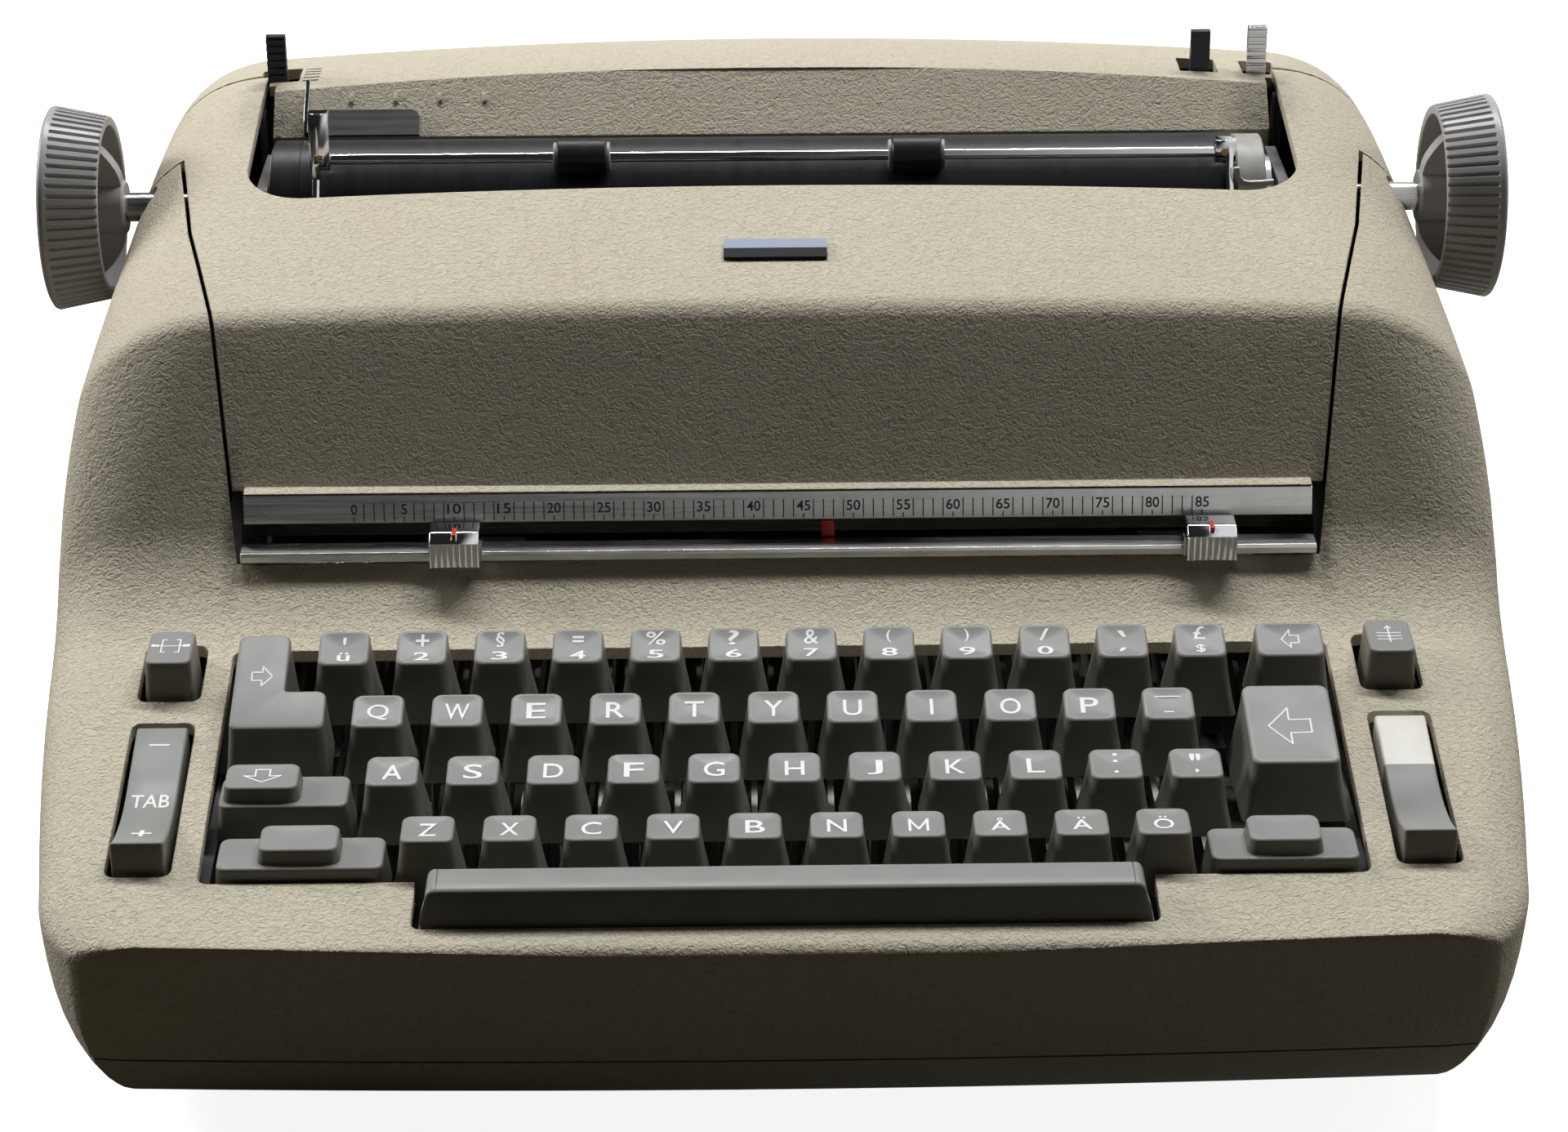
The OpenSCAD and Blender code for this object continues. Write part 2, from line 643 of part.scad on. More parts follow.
// The platen with its shaft, ratchet wheel and knobs
module platen() {
    color([0.07, 0.07, 0.08])
        difference() {
            rod_x(-platen_half_len, platen_half_len, platen_y, platen_z, platen_r, 96);
            rod_x(-200, 200, platen_y, platen_z, platen_shaft_r);
        }
}
module platen_shaft() {
    color("silver") {
        rod_x(-knob_face_x + 6, knob_face_x - 6, platen_y, platen_z, platen_shaft_r);
        difference() {
            rod_x(platen_half_len + 0.4, platen_half_len + 2.4, platen_y, platen_z, 12);
            rod_x(100, 160, platen_y, platen_z, platen_shaft_r + joint_gap);
        }
    }
}
knob_hub_r = 7.5;
knob_face_x = case_half_w + knob_out;
knob_tip_x = case_half_w - 6;
knob_rim_r = knob_r - 3;
module knob_solid() {
    inner_x = knob_face_x - knob_w;
    translate([0, platen_y, platen_z]) rotate([0, 90, 0]) difference() {
        union() {
            rotate_extrude($fn = 96) polygon([
                [0, knob_face_x], [knob_r - 1, knob_face_x], [knob_r, knob_face_x - 1],
                [knob_rim_r, inner_x], [knob_rim_r - 2.6, inner_x], [knob_r - 3.6, knob_face_x - 4],
                [0, knob_face_x - 4]]);
            translate([0, 0, knob_tip_x])
                cylinder(r = knob_hub_r, h = knob_face_x - knob_tip_x - 2, $fn = 48);
            translate([0, 2.5, 0]) rotate([90, 0, 0]) linear_extrude(height = 5) polygon(knob_web);
        }
        for (k = [0 : knob_grooves - 1])
            rotate([0, 0, k * 360 / knob_grooves])
                translate([knob_rim_r - 0.6, -0.5, inner_x - 0.5]) rotate([0, atan(3 / (knob_w - 1)), 0])
                    cube([2, 1, knob_w - 2.5]);
        translate([0, 0, 100]) cylinder(r = platen_shaft_r, h = knob_face_x - 106, $fn = 48);
    }
}
web_half = [[knob_hub_r, knob_tip_x], [11.5, knob_tip_x + 1.6], [16, knob_tip_x + 4.4],
    [20, knob_tip_x + 8.6], [23, knob_tip_x + 13.4], [24.6, knob_face_x - 3.8]];
knob_web = concat(web_half, [for (k = [5 : -1 : 0]) [-web_half[k].x, web_half[k].y]]);
module right_knob() {
    color([0.47, 0.46, 0.44]) knob_solid();
}
module left_knob() {
    color([0.47, 0.46, 0.44]) mirror([1, 0, 0]) knob_solid();
}

module feed_roller(s) {
    y = platen_y + s * feed_dy;
    z = platen_z + feed_dz;
    color([0.12, 0.12, 0.12]) {
        rod_x(-plate_out_x, plate_out_x, y, z, feed_shaft_r);
        for (x = [-feed_x[3], -feed_x[1], feed_x[0], feed_x[2]])
            difference() {
                rod_x(x, x + feed_x[1] - feed_x[0], y, z, feed_roller_r);
                rod_x(x - 1, x + 40, y, z, feed_shaft_r + joint_gap);
            }
    }
}
module paper_pan() {
    color([0.4, 0.41, 0.42])
        difference() {
            intersection() {
                rod_x(-plate_in_x, plate_in_x, platen_y, platen_z, pan_r + 1.2, 96);
                box(-150, 150, platen_y - 12, platen_y + 40, 100, platen_z);
            }
            rod_x(-200, 200, platen_y, platen_z, pan_r, 96);
            for (s = [-1, 1], k = [0, 2]) {
                a = min(s * feed_x[k], s * feed_x[k + 1]);
                box(a - 1, a + feed_x[1] - feed_x[0] + 2, 20, 110, 100, platen_z - 13);
            }
        }
}

// The paper bail in front of the platen
bail_y = 49;
bail_z = 165.1;
bail_arm_x = 123.4;
module bail_arms() {
    color("silver") {
        for (s = [-1, 1]) {
            x0 = s < 0 ? -bail_arm_x - 2 : bail_arm_x;
            tip = s < 0 ? 178 : 168.4;
            side_x(x0, x0 + 2, [[51, tip], [47.4, tip], [46.6, 160.1], [51, 161.1]]);
            side_x(x0, x0 + 2, [[51, 161], [46.6, 160], [38.6, 151.1], [42.6, 151.1]]);
            side_x(x0, x0 + 2, [[42.6, 151], [38.6, 151], [38.6, 140.1], [42.6, 140.6]]);
            difference() {
                side_x(x0, x0 + 2, [[42.6, 140.5], [38.6, 140], [44.6, bail_pivot_z - 4],
                    [51.4, bail_pivot_z - 4], [51, bail_pivot_z + 5]]);
                rod_x(-130, 130, bail_pivot_y, bail_pivot_z, feed_shaft_r + 0.02);
            }
            xb = s < 0 ? -bail_arm_x + joint_gap : bail_arm_x - 2.8 - joint_gap;
            difference() {
                box(xb, xb + 2.8, 47.4, 51, 162, tip);
                rod_x(-130, 130, bail_y, bail_z, bail_rod_r);
            }
        }
        rod_x(-plate_out_x, plate_out_x, bail_pivot_y, bail_pivot_z, feed_shaft_r);
    }
}
module bail_rod() {
    color("silver") rod_x(-bail_arm_x, bail_arm_x, bail_y, bail_z, bail_rod_r);
}
bail_roller_at = [-52, 39];
module bail_rollers() {
    color([0.07, 0.07, 0.08])
        for (x = bail_roller_at)
            difference() {
                rod_x(x - bail_roller_len / 2, x + bail_roller_len / 2, bail_y, bail_z, bail_roller_r);
                rod_x(x - 20, x + 20, bail_y, bail_z, bail_rod_r + running);
            }
}

// The paper guide lies on the sloping plate behind the platen
lip_dir = ([lip_y, lip_top] - lip_foot) / norm([lip_y, lip_top] - lip_foot);
lip_out = [-lip_dir.y, lip_dir.x];
module paper_guide() {
    a = lip_foot + 0.3 * lip_out;
    b = a + 8 * lip_dir;
    color([0.28, 0.28, 0.29]) {
        side_x(-126, -99, [a, b, b + 1.2 * lip_out, a + 1.2 * lip_out]);
        side_x(-131, -129.9, [a, a + 17 * lip_dir, a + 17 * lip_dir + 1.5 * lip_out,
            a + 6 * lip_dir + 4 * lip_out, a + 3 * lip_out]);
        side_x(-131, -125, [a, a + 5 * lip_dir, a + 5 * lip_dir + 1.2 * lip_out, a + 1.2 * lip_out]);
    }
}

// Levers that come up through the back of the case
module rear_lever(x, tip_z, arm) {
    difference() {
        union() {
            side_x(x - lever_w / 2, x + lever_w / 2, [[rear_post_y - 4.6, 154], [rear_post_y - 4, tip_z],
                [rear_post_y - 1.5, tip_z], [rear_post_y - 0.6, 154]]);
            side_x(arm[0], arm[1], [[rear_post_y - 4, lever_pivot_z], [rear_post_y - 4.6, 158],
                [rear_post_y - 0.6, 158], [rear_post_y + 4, lever_pivot_z]]);
            rod_x(arm[0], arm[1], rear_post_y, lever_pivot_z, lever_pin_r + 2.6);
        }
        rod_x(x - 10, x + 10, rear_post_y, lever_pivot_z, lever_pin_r + running);
    }
}
lever_tip_z = 183.6;
copy_arm = [-plate_out_x - 1.7, -plate_out_x - 0.2];
space_arm_x = [space_lever_x - 2, space_lever_x + 2];
release_arm = [plate_in_x - 2.7, plate_in_x - 0.2];
module copy_control_lever() {
    color([0.15, 0.15, 0.17]) rear_lever(copy_lever_x, lever_tip_z, copy_arm);
}
module line_space_lever() {
    color([0.15, 0.15, 0.17]) rear_lever(space_lever_x, lever_tip_z - 0.7, space_arm_x);
}
module paper_release_lever() {
    color("silver") rear_lever(release_lever_x, lever_tip_z + 0.4, release_arm);
}
module lever_pivot_pins() {
    color("silver") {
        rod_x(-plate_out_x - 2, -plate_out_x, rear_post_y, lever_pivot_z, lever_pin_r);
        rod_x(space_arm_x[0] - 2, plate_in_x, rear_post_y, lever_pivot_z, lever_pin_r);
    }
}

// The lid's hinge: pins on brackets of the power frame, and arms on the lid
bracket_x0 = plate_out_x + 2.2;
bracket_x1 = bracket_x0 + 2;
hinge_x1 = bracket_x1 + 6.4;
module cover_hinge_brackets() {
    color("silver")
        both_sides() {
            side_x(bracket_x0, bracket_x1, [[hinge_y - 4, hinge_z], [hinge_y - 3, hinge_z + 3],
                [hinge_y + 3, hinge_z + 3], [hinge_y + 6, hinge_z - 3], [hinge_y + 16, 112],
                [hinge_y - 6, 112]]);
            box(plate_out_x, bracket_x0 + 1, hinge_y - 6, hinge_y + 16, 112, 121);
            rod_x(bracket_x0, hinge_x1, hinge_y, hinge_z, hinge_pin_r);
        }
}
module cover_hinge_arms() {
    x0 = bracket_x1 + 0.6;
    x1 = hinge_x1 - 0.6;
    color("silver")
        both_sides() {
            difference() {
                union() {
                    rod_x(x0, x1, hinge_y, hinge_z, hinge_pin_r + 1.4);
                    side_x(x0, x1, [[hinge_y, hinge_z - 3], [ear_y + 4, hinge_z - 5.6],
                        [ear_y + 4, hinge_z - 0.4], [hinge_y, hinge_z + 3]]);
                }
                rod_x(x0 - 5, x1 + 5, hinge_y, hinge_z, hinge_pin_r + running);
            }
        }
}

module writing_scale() {
    color([0.8, 0.8, 0.78])
        side_x(-lid_front_x + 0.5, lid_front_x - 0.5, [[scale_front_y, 103.2],
            [scale_front_y + 1.9, lid_front_z - 0.2], [scale_front_y + 7, lid_front_z - 0.2],
            [scale_front_y + 7, 105.2], [scale_front_y + 2, 103.2]]);
}
plate_y = 0.5;
module name_plate() {
    color([0.15, 0.16, 0.2])
        translate([0, plate_y, top_z(plate_y) + 0.1]) rotate([top_angle, 0, 0])
            translate([-13.5, -4.4, 0]) cube([27, 8.8, 1]);
}

function scale_x(v) = (v - scale_count / 2) * scale_pitch;
module margin_stop(x) {
    y0 = rail_front_y;
    z1 = rail_top_z;
    color([0.7, 0.7, 0.72])
        side_x(x - stop_w / 2, x + stop_w / 2, [[y0 - 3.6, z1 - 2.6], [y0 - 0.3, z1 - 2.6],
            [y0 - 0.3, z1 + 0.3], [y0 + 5.3, z1 + 0.3], [y0 + 5.3, z1 + 6.2], [y0 - 0.8, z1 + 6.2],
            [y0 - 3.6, z1 + 3.8]]);
}
module left_margin_stop() {
    margin_stop(scale_x(left_stop_at) + 0.5);
}
module right_margin_stop() {
    margin_stop(scale_x(right_stop_at) + 1.5);
}

// A key cap is the part that two tapered bars share, so that its faces stay true
key_top_d = 11.5;
key_tilt = 1.6;
module key_cap(x, y, z, wt = key_top_w, wb = key_skirt_w, h = key_cap_h, dt = key_top_d, df = 4.4, db = 1.8,
    tilt = key_tilt) {
    intersection() {
        translate([x, y + 40, z]) rotate([90, 0, 0]) linear_extrude(height = 80)
            polygon([[-wb / 2, -h], [-wb / 2, -h + 2.5], [-wt / 2 - 0.6, -1.2], [-wt / 2 + 0.6, tilt + 0.1],
                [wt / 2 - 0.6, tilt + 0.1], [wt / 2 + 0.6, -1.2], [wb / 2, -h + 2.5], [wb / 2, -h]]);
        side_x(x - 40, x + 40, [[y - dt / 2 - df, z - h], [y - dt / 2 - df, z - h + 2.5],
            [y - dt / 2 - 0.6, z - tilt / 2 - 1.2], [y - dt / 2 + 0.6, z - tilt / 2],
            [y + dt / 2 - 0.6, z + tilt / 2], [y + dt / 2 + 0.4, z + tilt / 2 - 1.2],
            [y + dt / 2 + db, z - h + 2.5], [y + dt / 2 + db, z - h]]);
    }
}
comb_y = -166;
lever_top = lever_z + lever_h;
module key_lever(x, y, cap_bottom, front = comb_y - 2) {
    difference() {
        union() {
            box(x - lever_t / 2, x + lever_t / 2, front, fulcrum_y, lever_z, lever_top);
            rod_x(x - lever_t / 2, x + lever_t / 2, fulcrum_y, lever_z + lever_h / 2, fulcrum_r + 3);
        }
        rod_x(x - 5, x + 5, fulcrum_y, lever_z + lever_h / 2, fulcrum_r + running);
    }
    box(x - lever_t / 2, x + lever_t / 2, y - 4, y + 4, lever_top + joint_gap, cap_bottom - joint_gap);
}
function row_y(i) = number_row_y - key_pitch * i;
function row_z(i) = number_row_z - row_drop * i;
stagger = [0, 0.5, 0.75, 1.25];
row_count = [12, 11, 11, 10];
row_tilt = [3.6, 2.9, 1.8, 0.5];
row_lift = [1, -0.5, -0.6, 0.4];
module row_cap(i, x, wt = key_top_w, wb = key_skirt_w) {
    key_cap(x, row_y(i), row_z(i) + row_lift[i], wt = wt, wb = wb, h = key_cap_h + row_lift[i],
        df = i == 3 ? 2.2 : 4.4, tilt = row_tilt[i]);
}
module key_row(i) {
    color(key_grey)
        for (k = [0 : row_count[i] - 1]) {
            x = first_key_x + key_pitch * (stagger[i] + k);
            row_cap(i, x);
            key_lever(x, row_y(i), row_z(i) - key_cap_h);
        }
}
module number_row_keys() { key_row(0); }
module upper_row_keys() { key_row(1); }
module home_row_keys() { key_row(2); }
module bottom_row_keys() { key_row(3); }

// Levers lie a quarter of a pitch apart, so that those of four rows pass each other
function lever_x(n) = first_key_x + n * key_pitch / 4;
module tab_key() {
    color(key_grey) {
        key_cap(-126.4, row_y(0), row_z(0), wt = 13, wb = 15.6, h = key_cap_h + 6, df = 6.1, tilt = 3.84);
        side_x(-132.9, -119.9, [[row_y(0) - 5, row_z(0) - 1.7], [row_y(1) + 6.15, row_z(1) + 1.4],
            [row_y(1) + 6.85, row_z(1)], [row_y(1) + 7.25, row_z(1) - 12], [row_y(0) - 5, row_z(1) - 12]]);
        key_cap(-120.2, row_y(1) + 0.6, row_z(1) - 0.4, wt = 23.2, wb = 25.8, h = key_cap_h + 0.6, db = 0.8,
            tilt = 3.84);
        key_lever(lever_x(-4), row_y(0), row_z(0) - key_cap_h - 6);
    }
}
module backspace_key() {
    color(key_grey) {
        row_cap(0, 124.6, 16.5, 20);
        key_lever(lever_x(49), row_y(0), row_z(0) - key_cap_h);
    }
}
module return_key() {
    color(key_grey) {
        key_cap(121.6, row_y(1) - 8.2, row_z(1) - 2, wt = 21, wb = 26, h = key_cap_h + 2,
            dt = 26.6, tilt = 7);
        key_lever(lever_x(48), row_y(1) - 6, row_z(1) - key_cap_h - 4);
    }
}
module stepped_key(x, y, z, w, top_x, top_w) {
    key_cap(x, y - 0.95, z - 5.3, wt = w - 1.2, wb = w, h = key_cap_h - 5.3, dt = 13, df = 0.3, db = 0.9,
        tilt = 1);
    key_cap(top_x, y, z - 1.6, wt = top_w, wb = top_w + 2.6, h = 7, dt = 10.4, df = 1.6, db = 0.8, tilt = 1);
}
module shift_lock_key() {
    color(key_grey) {
        stepped_key(-118.2, row_y(2), row_z(2), 32.4, -123.4, 17.4);
        key_lever(lever_x(-3), row_y(2), row_z(2) - key_cap_h);
    }
}
module left_shift_key() {
    color(key_grey) {
        stepped_key(-112.7, row_y(3), row_z(3), 40.8, -113, 18.4);
        key_lever(lever_x(-1), row_y(3), row_z(3) - key_cap_h);
    }
}
module right_shift_key() {
    color(key_grey) {
        stepped_key(116.4, row_y(3), row_z(3), 36.6, 116.6, 17);
        key_lever(lever_x(47), row_y(3), row_z(3) - key_cap_h);
    }
}

// The space bar hangs on two arms that pass below the key levers
space_y = row_y(4) + 2.4;
space_z = row_z(4) + 2.2;
space_arm_z = 26;
module space_bar() {
    color([0.42, 0.43, 0.43]) {
        intersection() {
            side_x(-90, 90, [[space_y - 6.5, space_z - 10.8], [space_y - 4.4, space_z - 1.2],
                [space_y - 3.4, space_z - 0.2], [space_y + 3.6, space_z + 0.8], [space_y + 4.4, space_z],
                [space_y + 4.8, space_z - 10.8]]);
            translate([0, space_y + 20, 0]) rotate([90, 0, 0]) linear_extrude(height = 40)
                polygon([[-space_bar_x, space_z - 11.2], [-space_bar_x + 2.4, space_z + 2],
                    [space_bar_x - 2.4, space_z + 2], [space_bar_x, space_z - 11.2]]);
        }
        for (n = [12.5, 32.5]) space_arm(lever_x(n));
    }
}
module space_arm(x) {
    box(x - lever_t / 2, x + lever_t / 2, space_y - 2, space_y + 3, space_arm_z + 8 + joint_gap,
        space_z - 10.8 - joint_gap);
    difference() {
        union() {
            box(x - lever_t / 2, x + lever_t / 2, space_y - 2, fulcrum_y + 3, space_arm_z, space_arm_z + 8);
            box(x - lever_t / 2, x + lever_t / 2, fulcrum_y - 4, fulcrum_y + 4,
                space_arm_z, lever_z + lever_h / 2);
            rod_x(x - lever_t / 2, x + lever_t / 2, fulcrum_y, lever_z + lever_h / 2, fulcrum_r + 3);
        }
        rod_x(x - 5, x + 5, fulcrum_y, lever_z + lever_h / 2, fulcrum_r + running);
    }
}
module key_guide_comb() {
    color([0.5, 0.5, 0.5])
        difference() {
            box(-plate_in_x, plate_in_x, comb_y, comb_y + 3, plate_z0, lever_top + 2.5);
            for (n = [-4, -3, -1, 47, 48, 49]) comb_slot(lever_x(n));
            for (i = [0 : 3], k = [0 : row_count[i] - 1])
                comb_slot(first_key_x + key_pitch * (stagger[i] + k));
            for (n = [12.5, 32.5])
                box(lever_x(n) - 1.1, lever_x(n) + 1.1, comb_y - 1, comb_y + 4,
                    space_arm_z - 7, space_arm_z + 9);
        }
}
module comb_slot(x) {
    box(x - lever_t / 2 - 0.4, x + lever_t / 2 + 0.4, comb_y - 1, comb_y + 4, lever_z - 7, lever_top + 5);
}

// Small keys and rockers beside the keyboard
side_key_x = 150.4;
side_key_y = -91.3;
module side_key(s) {
    color(key_grey) {
        key_cap(s * side_key_x, side_key_y, 88.6, wt = 11.2, wb = 13, h = 20, dt = 14.4, df = 0.4, db = 2);
        key_lever(s * side_key_x, side_key_y, 68.6, side_key_y - 5);
    }
}
module margin_release_key() { side_key(-1); }
module index_key() { side_key(1); }
rocker_y = (rocker_hole[0] + rocker_hole[1]) / 2;
rocker_pin_z = 60;
rocker_w = 12.4;
module rocker(s) {
    x = s * side_key_x;
    difference() {
        side_x(x - rocker_w / 2, x + rocker_w / 2, [[rocker_hole[0] + 1.2, 62], [rocker_hole[0] + 2.4, 72.4],
            [rocker_hole[0] + 13, 69.8], [rocker_y - 2, 69.6], [rocker_hole[1] - 3.4, 77.2],
            [rocker_hole[1] - 2.6, 68], [rocker_y + 5, rocker_pin_z - 5], [rocker_y - 5, rocker_pin_z - 5]]);
        rod_x(x - 20, x + 20, rocker_y, rocker_pin_z, 2.5 + running);
    }
}
module tab_rocker() {
    color(key_grey) rocker(-1);
}
module power_rocker() {
    color(key_grey) rocker(1);
}
module rocker_pivot_pins() {
    color("silver")
        both_sides() {
            rod_x(plate_out_x, side_key_x + 8.4, rocker_y, rocker_pin_z, 2.5);
            side_x(plate_out_x, plate_out_x + 1.4, [[rocker_y - 6, 20], [rocker_y + 6, 20],
                [rocker_y + 4, rocker_pin_z + 4], [rocker_y - 4, rocker_pin_z + 4]]);
        }
}

bottom_case();
main_case();
rubber_feet();
power_frame();
case_screws();
power_inlet();
key_guide_comb();
key_fulcrum_rod();
rocker_pivot_pins();
lever_pivot_pins();
cover_hinge_brackets();
margin_rail();
carrier_rail();
escapement_rack();
paper_pan();
motor();
drive_belt();
top_cover();
name_plate();
writing_scale();
cover_hinge_arms();
platen();
platen_shaft();
left_knob();
right_knob();
feed_roller(-1);  // front_feed_roller
feed_roller(1);  // rear_feed_roller
bail_arms();
bail_rod();
bail_rollers();
paper_guide();
copy_control_lever();
line_space_lever();
paper_release_lever();
left_margin_stop();
right_margin_stop();
carrier();
ribbon_cartridge();
typing_element();
print_shaft();
drive_hub();
motor_pulley();
number_row_keys();
upper_row_keys();
home_row_keys();
bottom_row_keys();
tab_key();
backspace_key();
return_key();
shift_lock_key();
left_shift_key();
right_shift_key();
space_bar();
margin_release_key();
index_key();
tab_rocker();
power_rocker();
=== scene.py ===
import math

import bmesh
import bpy
from mathutils import Matrix, Vector
from mathutils.bvhtree import BVHTree


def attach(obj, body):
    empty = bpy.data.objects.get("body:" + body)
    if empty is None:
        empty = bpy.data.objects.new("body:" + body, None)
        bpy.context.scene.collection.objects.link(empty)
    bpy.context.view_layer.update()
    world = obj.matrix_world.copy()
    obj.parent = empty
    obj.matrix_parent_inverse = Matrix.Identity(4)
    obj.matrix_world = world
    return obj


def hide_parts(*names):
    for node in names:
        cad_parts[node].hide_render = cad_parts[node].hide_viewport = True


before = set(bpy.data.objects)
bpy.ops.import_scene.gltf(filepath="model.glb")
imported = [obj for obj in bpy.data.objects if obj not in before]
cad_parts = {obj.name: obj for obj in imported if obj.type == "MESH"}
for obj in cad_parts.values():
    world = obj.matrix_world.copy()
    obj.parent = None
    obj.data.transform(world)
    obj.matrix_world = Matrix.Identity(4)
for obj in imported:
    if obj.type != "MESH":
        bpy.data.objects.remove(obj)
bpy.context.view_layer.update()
MM = 0.001

# The camera stands at the front, level with the middle of the machine and looking down on the keyboard.
# Its place, angles and focal length come from a fit of the key rows and the writing scale.
CAMERA_AT = Vector((-8.017, -887.509, 497.48)) * MM
CAMERA_DOWN = math.radians(26.0)
CAMERA_TURN = math.radians(0.639)
CAMERA_ROLL = math.radians(-0.281)
CAMERA_LENS = 83.255
ahead = Vector((math.sin(CAMERA_TURN) * math.cos(CAMERA_DOWN), math.cos(CAMERA_TURN) * math.cos(CAMERA_DOWN),
                -math.sin(CAMERA_DOWN)))
level = Vector((math.cos(CAMERA_TURN), -math.sin(CAMERA_TURN), 0))
upright = level.cross(ahead)
across = level * math.cos(CAMERA_ROLL) + upright * math.sin(CAMERA_ROLL)
upwards = upright * math.cos(CAMERA_ROLL) - level * math.sin(CAMERA_ROLL)
lens = bpy.data.cameras.new("photo_camera")
lens.lens = CAMERA_LENS
lens.sensor_width = 36
lens.clip_start = 0.01
camera = bpy.data.objects.new("photo_camera", lens)
camera.matrix_world = Matrix(((across.x, upwards.x, -ahead.x, CAMERA_AT.x),
                              (across.y, upwards.y, -ahead.y, CAMERA_AT.y),
                              (across.z, upwards.z, -ahead.z, CAMERA_AT.z), (0, 0, 0, 1)))
bpy.context.collection.objects.link(camera)
bpy.context.scene.camera = camera
bpy.context.scene.view_settings.view_transform = "Standard"


# Soft light falls from above and a little behind, so the upper faces are bright and the front ones dim.
# The room around is white only to the camera and in reflections.
def lamp(name, place, target, width, depth, watts, colour=(1, 1, 1)):
    light = bpy.data.lights.new(name, "AREA")
    light.shape = "RECTANGLE"
    light.size = width
    light.size_y = depth
    light.energy = watts
    light.color = colour
    holder = bpy.data.objects.new(name, light)
    holder.location = place
    holder.rotation_euler = (Vector(target) - Vector(place)).to_track_quat("-Z", "Y").to_euler()
    bpy.context.collection.objects.link(holder)


lamp("top_light", (0.3, 1.46, 2.94), (0, 0.0, 0.1), 3.4, 0.1, 122)
lamp("left_light", (-1.5, 0.5, 0.8), (0, 0, 0.1), 0.6, 0.6, 18)
lamp("right_light", (1.5, 0.5, 0.7), (0, 0, 0.1), 0.6, 0.6, 4)
world = bpy.data.worlds.new("white_room")
world.use_nodes = True
bpy.context.scene.world = world
sky = world.node_tree
sky.nodes.clear()


def set_socket(tree, socket, value):
    # Links the socket to another node's output, or gives it a value
    if isinstance(value, bpy.types.NodeSocket):
        tree.links.new(value, socket)
    else:
        socket.default_value = value


def add(tree, kind, settings=None, **sockets):
    # A shader node with its settings, and its input sockets set to values or linked from outputs
    made = tree.nodes.new(kind)
    for label, value in (settings or {}).items():
        setattr(made, label, value)
    for label, value in sockets.items():
        numbered = label[0] == "n" and label[1:].isdigit()
        set_socket(tree, made.inputs[int(label[1:]) if numbered else label.replace("_", " ")], value)
    return made


rays = add(sky, "ShaderNodeLightPath")
seen = add(sky, "ShaderNodeMath", {"operation": "MAXIMUM"}, n0=rays.outputs["Is Camera Ray"],
           n1=rays.outputs["Is Transmission Ray"])
dim_light = add(sky, "ShaderNodeBackground", Color=(1, 0.92, 0.72, 1), Strength=0.012)
white_light = add(sky, "ShaderNodeBackground", Color=(1, 1, 1, 1), Strength=1.0)
# Glossy rays see a white wall to the right, and the dark side of the room to the left
toward = add(sky, "ShaderNodeSeparateXYZ", n0=add(sky, "ShaderNodeTexCoord").outputs["Generated"])
wall_ramp = add(sky, "ShaderNodeMapRange", {"interpolation_type": "SMOOTHSTEP"}, n0=toward.outputs["X"],
                n1=0.0, n2=0.2,
                n3=0.02, n4=0.85)
mirrored = add(sky, "ShaderNodeBackground", Color=(1, 1, 1, 1), Strength=wall_ramp.outputs["Result"])
room = add(sky, "ShaderNodeMixShader", n0=rays.outputs["Is Glossy Ray"], n1=dim_light.outputs[0],
           n2=mirrored.outputs[0])
mixed = add(sky, "ShaderNodeMixShader", n0=seen.outputs[0], n1=room.outputs[0], n2=white_light.outputs[0])
add(sky, "ShaderNodeOutputWorld", Surface=mixed.outputs[0])

# The floor is a wide pale sheet, white to the camera apart from the shadow round the machine and a painted shadow
# under it.
def made_mesh(form, name):
    # The mesh of a finished form
    mesh = bpy.data.meshes.new(name)
    form.to_mesh(mesh)
    form.free()
    return mesh


floor_form = bmesh.new()
bmesh.ops.create_grid(floor_form, x_segments=1, y_segments=1, size=6)
floor = bpy.data.objects.new("floor", made_mesh(floor_form, "floor"))
bpy.context.collection.objects.link(floor)
floor_finish = bpy.data.materials.new("floor_white")
floor_finish.use_nodes = True
sheet = floor_finish.node_tree
sheet.nodes.clear()
sheet_rays = add(sheet, "ShaderNodeLightPath")
sheet_place = add(sheet, "ShaderNodeNewGeometry")
# The camera sees a matt sheet that glows, except under the machine, where the glow is cut off as a painted shadow so
# that its openings stay dark
sheet_off = add(sheet, "ShaderNodeVectorMath", {"operation": "DIVIDE"}, n0=sheet_place.outputs["Position"],
                n1=(0.14, 0.13, 1))
sheet_reach = add(sheet, "ShaderNodeVectorMath", {"operation": "LENGTH"}, n0=sheet_off.outputs[0])
sheet_glow_cut_painted_shadow = add(sheet, "ShaderNodeMapRange", n0=sheet_reach.outputs["Value"], n1=1.0, n2=1.15, n4=0.9)
sheet_glow = add(sheet, "ShaderNodeEmission", Color=(1, 1, 1, 1), Strength=sheet_glow_cut_painted_shadow.outputs["Result"])
sheet_matt = add(sheet, "ShaderNodeBsdfDiffuse", Color=(0.8, 0.8, 0.8, 1))
sheet_sum = add(sheet, "ShaderNodeAddShader", n0=sheet_matt.outputs[0], n1=sheet_glow.outputs[0])
